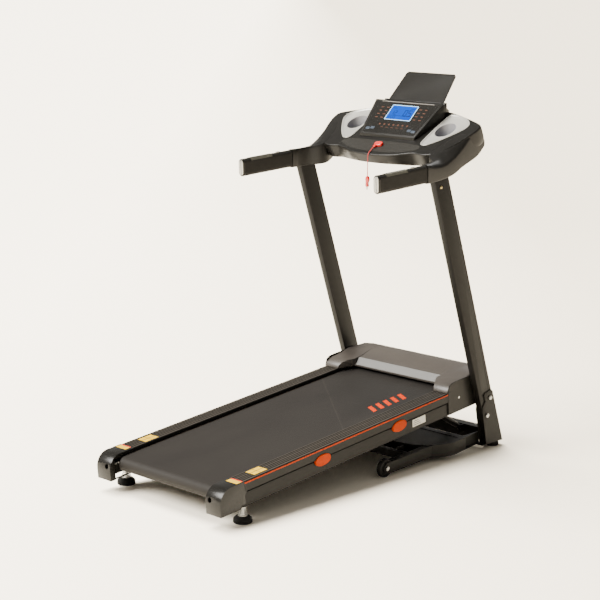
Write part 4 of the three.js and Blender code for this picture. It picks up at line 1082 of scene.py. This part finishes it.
class TREADMILL_OT_console(bpy.types.Operator):
    """Makes the console: shell, arms, dash top and sound grille"""
    bl_idname = "treadmill.console"
    bl_label = "Console"

    def execute(self, context):
        outline = smooth_loop(dash_points(mirrored(DASH_HALF)), 6)
        self.shell(outline)
        for side, sign in SIDES:
            self.arm(side, sign)
        rim = [(1.0, -6.0), (0, -5.6)] + rounded_edge(4.6, 0.0, 5)
        top = slab_piece("dash_top", "dash_plastic", "stand", [(outline, rim, dash_at)],
                         stands_for=("console_top",))
        carve(top, [slab_cutter(inset(tray_outline(sign), -0.3), 12, dash_at) for _, sign in SIDES])
        grille = smooth_loop(dash_points(mirrored(GRILLE_HALF)), 4)
        slab_piece("sound_grille", "grille_plastic", "stand", [(grille, [(0, -0.2), (0.5, 0.6)], dash_at)])
        return {"FINISHED"}

    def shell(self, outline):
        """The shell under the dash, rounded below and cut level under the lip nearest the runner."""
        steps = [(0, -6.3), (0.2, -20), (1.0, -40), (3.5, -56), (9, -68), (18, -76), (30, -80)]
        rings = []
        for distance, height in steps:
            ring = []
            for a, b in inset(outline, distance):
                p = dash_at(a, b, height)
                y, z = p.y / MM - REAR, p.z / MM
                # The lowest the underside reaches: level near the runner, then rising about as the dash does.
                floor = 1074.0 if y < 1155 else 1079 + 0.547 * (y - 1164)
                floor += distance * 0.12
                if z < floor:
                    p = p + dash_at.n * ((floor - z) / dash_at.n.z) * MM
                ring.append(p)
            rings.append(ring)
        bm = bmesh.new()
        rows = add_rings(bm, rings, ends=(False, False))
        cap = bm.faces.new(rows[-1])
        bmesh.ops.triangulate(bm, faces=[cap])
        make_piece(bm, "console_shell", "dash_plastic", "stand", 50, ("console_base",))

    def arm(self, side, sign):
        """An arm from the grip's collar, flaring into the shell with a crease along its flank."""
        lows = smooth_line([(y, x, low) for y, x, low, _, _, _ in ARM], 5)
        tops = smooth_line([(fall, top, crease) for _, _, _, fall, top, crease in ARM], 5)
        rings = []
        for (y, x, low), (fall, top, crease) in zip(lows, tops):
            corners = [(x, low), (340, low), (340, crease), (fall, top), (x, top)]
            loop = rounded_corners(corners, (4, 7, 9, 16, 5))
            rings.append([spot(sign * a, y, b) for a, b in loop])
        bm = bmesh.new()
        add_rings(bm, rings)
        make_piece(bm, f"{side}_console_arm", "dash_plastic", "stand", 50, ("console_base",))


def tray_outline(sign):
    return smooth_loop(dash_points([(sign * x, y) for x, y in TRAY]), 5)


class TREADMILL_OT_trays(bpy.types.Operator):
    """Makes the silver trays and their cup wells"""
    bl_idname = "treadmill.trays"
    bl_label = "Cup trays"

    def execute(self, context):
        for side, sign in SIDES:
            outline = tray_outline(sign)
            rod = [(38.9, 1120), (38.9, 1300)]
            steps = [(0, -5), (0, 0.1)] + rounded_edge(1.1, 1.5, 3) + [
                (3.6, 1.5), (5.0, 0.6), (6.4, -1.4), (8.4, -2.2)]
            replaced = (f"{side}_cup_tray",)
            tray = slab_piece(f"{side}_tray_plate", "silver_paint", "stand", [(outline, steps, dash_at)],
                              stands_for=replaced)
            centre = spot(sign * CUP_X, CUP_Y, 0)
            carve(tray, [cutter_mesh(lambda bm: add_turned(bm, rod, centre, UP, 64))])
            make_piece(self.well(sign), f"{side}_cup_well", "cup_plastic", "stand", stands_for=replaced)
        return {"FINISHED"}

    def well(self, sign):
        """A plumb-sided cup whose rim follows the slope of the dash."""
        def ring(r, z, drop=None):
            points = []
            for k in range(72):
                turn = k * math.pi / 36
                x, y = CUP_X * sign + r * math.cos(turn), CUP_Y + r * math.sin(turn)
                rim = DASH_Z + (y - DASH_Y) * math.tan(SLOPE)
                points.append(spot(x, y, z if drop is None else rim - drop))
            return points
        bm = bmesh.new()
        add_rings(bm, [ring(36, 1134.6), ring(39.4, 1135.6), ring(40.6, 1139), ring(40.6, 0, 3.4),
                       ring(39.9, 0, 2.6), ring(38.4, 0, 2.6), ring(38.4, 1141), ring(37.4, 1138),
                       ring(34.6, 1137)])
        return bm


SEGMENTS = {"0": "abcdef", "1": "bc", "2": "abged", "3": "abgcd", "5": "afgcd"}
# Rows of digits on the screen: the digits, the left end, the step, the lower edge, the width and the height.
FIGURES = (("05", 12, 20, 98, 15, 30), ("12", -46, 14, 102, 10, 20), ("0530", -50, 9, 84, 5.5, 9))


def digit_bars(digit, x, y, width, height):
    """The outlines of a seven-bar digit with its lower left corner at x, y."""
    t = width * 0.2
    half = height / 2
    bars = {"a": (0, height - t, width, height), "g": (0, half - t / 2, width, half + t / 2),
            "d": (0, 0, width, t), "f": (0, half, t, height), "e": (0, 0, t, half),
            "b": (width - t, half, width, height), "c": (width - t, 0, width, half)}
    gap = t * 0.12
    return [rectangle(x + x0 + gap, y + y0 + gap, x + x1 - gap, y + y1 - gap)
            for x0, y0, x1, y1 in (bars[bar] for bar in SEGMENTS[digit])]


class TREADMILL_OT_display(bpy.types.Operator):
    """Finishes the display housing, lit screen, printed keys and tablet rest"""
    bl_idname = "treadmill.display"
    bl_label = "Display"

    def execute(self, context):
        dress("display_housing", "satin_plastic", 2.4, 3)
        dress("display_screen", "screen_blue")
        dress("tablet_rest", "satin_plastic", 0.9, 2)
        self.face_plate()
        self.screen()
        self.keys()
        # A pale strip along the housing's top edge, under the tablet rest, is a painted highlight of that edge.
        highlight_strip = rounded_rect(250, 3.0, 1.2, 0, 164)
        slab_piece("tablet_edge_highlight", "ledge_plastic", "stand", [
            (highlight_strip, [(0, -0.3), (0, 0.5), (0.4, 0.9)], panel_at)])
        return {"FINISHED"}

    def face_plate(self):
        """The glossy printed sheet that the screen and keys are set in."""
        sheet = [(-123, 8), (123, 8), (150, 162), (-150, 162)]
        plate = slab_piece("display_sheet", "gloss_plastic", "stand", [
            (sheet, [(0, -0.2), (0.2, 0.16)], panel_at)])
        carve(plate, [slab_cutter(rounded_rect(120.4, 70.4, 2, 0, 113), 3, panel_at)])

    def screen(self):
        """A pale border round the screen, with plain figures and lines on it."""
        bm = bmesh.new()
        outer, inner = rounded_rect(124, 74, 3, 0, 113), rounded_rect(118.4, 68.4, 1.6, 0, 113)
        rings = [[panel_at(a, b, h) for a, b in loop]
                 for loop, h in ((outer, 0.1), (outer, 0.42), (inner, 0.42), (inner, 0.1))]
        add_rings(bm, rings + rings[:1], ends=(False, False))
        make_piece(bm, "screen_border", "screen_white", "stand")
        loops = []
        for digits, left, step, low, width, height in FIGURES:
            for k, digit in enumerate(digits):
                loops += digit_bars(digit, left + k * step, low, width, height)
        lines = ((-52, -34, 134), (34, 52, 134), (-52, 52, 97))
        loops += [rectangle(x0, y0, x1, y0 + 1.2) for x0, x1, y0 in lines]
        slab_piece("screen_figures", "dark_film", "stand", [
            (loop, [(0, 0.15), (0, 0.4)], panel_at) for loop in loops])

    def keys(self):
        """Small printed marks beside and under the screen, and four blue-grey keys in the lower corners."""
        flat = [(0, 0.1), (0.1, 0.34)]
        marks = [(rounded_rect(13, 4.0, 1.8, sign * (78 + col * 26), 84 + row * 17), flat)
                 for row in range(4) for sign in (-1, 1) for col in range(2)]
        marks += [(oval(8.5, 8.5, -66 + k * 22, 52, 20), [(0, 0.1), (0.4, 0.6)]) for k in range(7)]
        marks += [(rounded_rect(12, 2.2, 0.9, -48 + k * 24, 38), flat) for k in range(5)]
        slab_piece("printed_marks", "ink_film", "stand", [(*mark, panel_at) for mark in marks])
        keys = [rounded_rect(19, 12, 4, sign * (88 + k * 21), 31 - k * 4) for sign in (-1, 1) for k in range(2)]
        slab_piece("corner_keys", "blue_film", "stand", [
            (key, [(0, 0.1), (0, 0.6), (0.6, 1.0)], panel_at) for key in keys])


HANDLE_HALF = 32.0  # half the height of a grip


class TREADMILL_OT_handles(bpy.types.Operator):
    """Finishes the grips, their caps, pulse plates and buttons"""
    bl_idname = "treadmill.handles"
    bl_label = "Handles"

    def execute(self, context):
        for side, sign in SIDES:
            dress(f"{side}_grip", "grip_foam", 0.6, 1)
            dress(f"{side}_handle_button", "silver_paint", 0.5, 2)
            place = grip_at(sign)
            rim = rounded_rect(28.6, 64.6, 14.2, 0, 0, 12)
            end = [(4.2, -1.0), (3.0, -1.2), (1.6, -0.4), (0.4, 1.4), (0, 3.0), (0, 5.6)]
            slab_piece(f"{side}_grip_end", "gloss_plastic", "stand", [(rim, end, place)], 50,
                       (f"{side}_grip_cap",))
            badge = [(1.2, -2.2), (0.4, -1.9), (0, -1.2), (0, 0)]
            slab_piece(f"{side}_grip_badge", "silver_paint", "stand", [(inset(rim, 4.6), badge, place)])
            self.pulse_plate(side, place)
            head = [(0, -0.6), (3.4, -0.6), (3.4, 0.3), (2.4, 1.0), (1.0, 1.1), (0.9, 0.5), (0, 0.5)]
            turned_piece(f"{side}_grip_screws", "bright_steel", "stand", [
                (head, place(0, -HANDLE_HALF, h), tuple(-GRIP_UP), 20) for h in (60.0, 128.0)])
        return {"FINISHED"}

    def pulse_plate(self, side, place):
        """A thin sheet wrapped over the top of the grip."""
        arc = [math.radians(90 + k * 12) for k in range(-6, 7)]
        centre = HANDLE_HALF - 14.0
        rim = lambda r, turn: (r * math.cos(turn), centre + r * math.sin(turn))
        loop = [rim(14.25, t) for t in arc] + [rim(15.1, t) for t in reversed(arc)]
        slab_piece(f"{side}_pulse_sheet", "pulse_metal", "stand", [(loop, [(0, 38.5), (0, 149.5)], place)],
                   30, (f"{side}_pulse_plate",))


# ---------------------------------------------------------------- panel and run
STEPS = (TREADMILL_OT_stage, TREADMILL_OT_lanyard, TREADMILL_OT_safety_key, TREADMILL_OT_stand,
         TREADMILL_OT_running_deck, TREADMILL_OT_foot_rails, TREADMILL_OT_rear_feet, TREADMILL_OT_motor_hood,
         TREADMILL_OT_console, TREADMILL_OT_trays, TREADMILL_OT_display, TREADMILL_OT_handles)


class TREADMILL_PT_panel(bpy.types.Panel):
    """Lists the treadmill's settings and its building steps"""
    bl_idname = "TREADMILL_PT_panel"
    bl_label = "Treadmill"
    bl_space_type = "VIEW_3D"
    bl_region_type = "UI"
    bl_category = "Treadmill"

    def draw(self, context):
        for group in (context.scene.treadmill_looks, context.scene.treadmill_sizes):
            for name in group.bl_rna.properties.keys():
                if name not in ("rna_type", "name"):
                    self.layout.prop(group, name)
        for step in STEPS:
            self.layout.operator(step.bl_idname)


CLASSES = (TreadmillLooks, TreadmillSizes) + STEPS + (TREADMILL_PT_panel,)


def register():
    for cls in CLASSES:
        bpy.utils.register_class(cls)
    bpy.types.Scene.treadmill_looks = bpy.props.PointerProperty(type=TreadmillLooks)
    bpy.types.Scene.treadmill_sizes = bpy.props.PointerProperty(type=TreadmillSizes)


def unregister():
    del bpy.types.Scene.treadmill_looks
    del bpy.types.Scene.treadmill_sizes
    for cls in reversed(CLASSES):
        bpy.utils.unregister_class(cls)


def main():
    register()
    for step in STEPS:
        group, name = step.bl_idname.split(".")
        getattr(getattr(bpy.ops, group), name)()


if __name__ == "__main__":
    main()
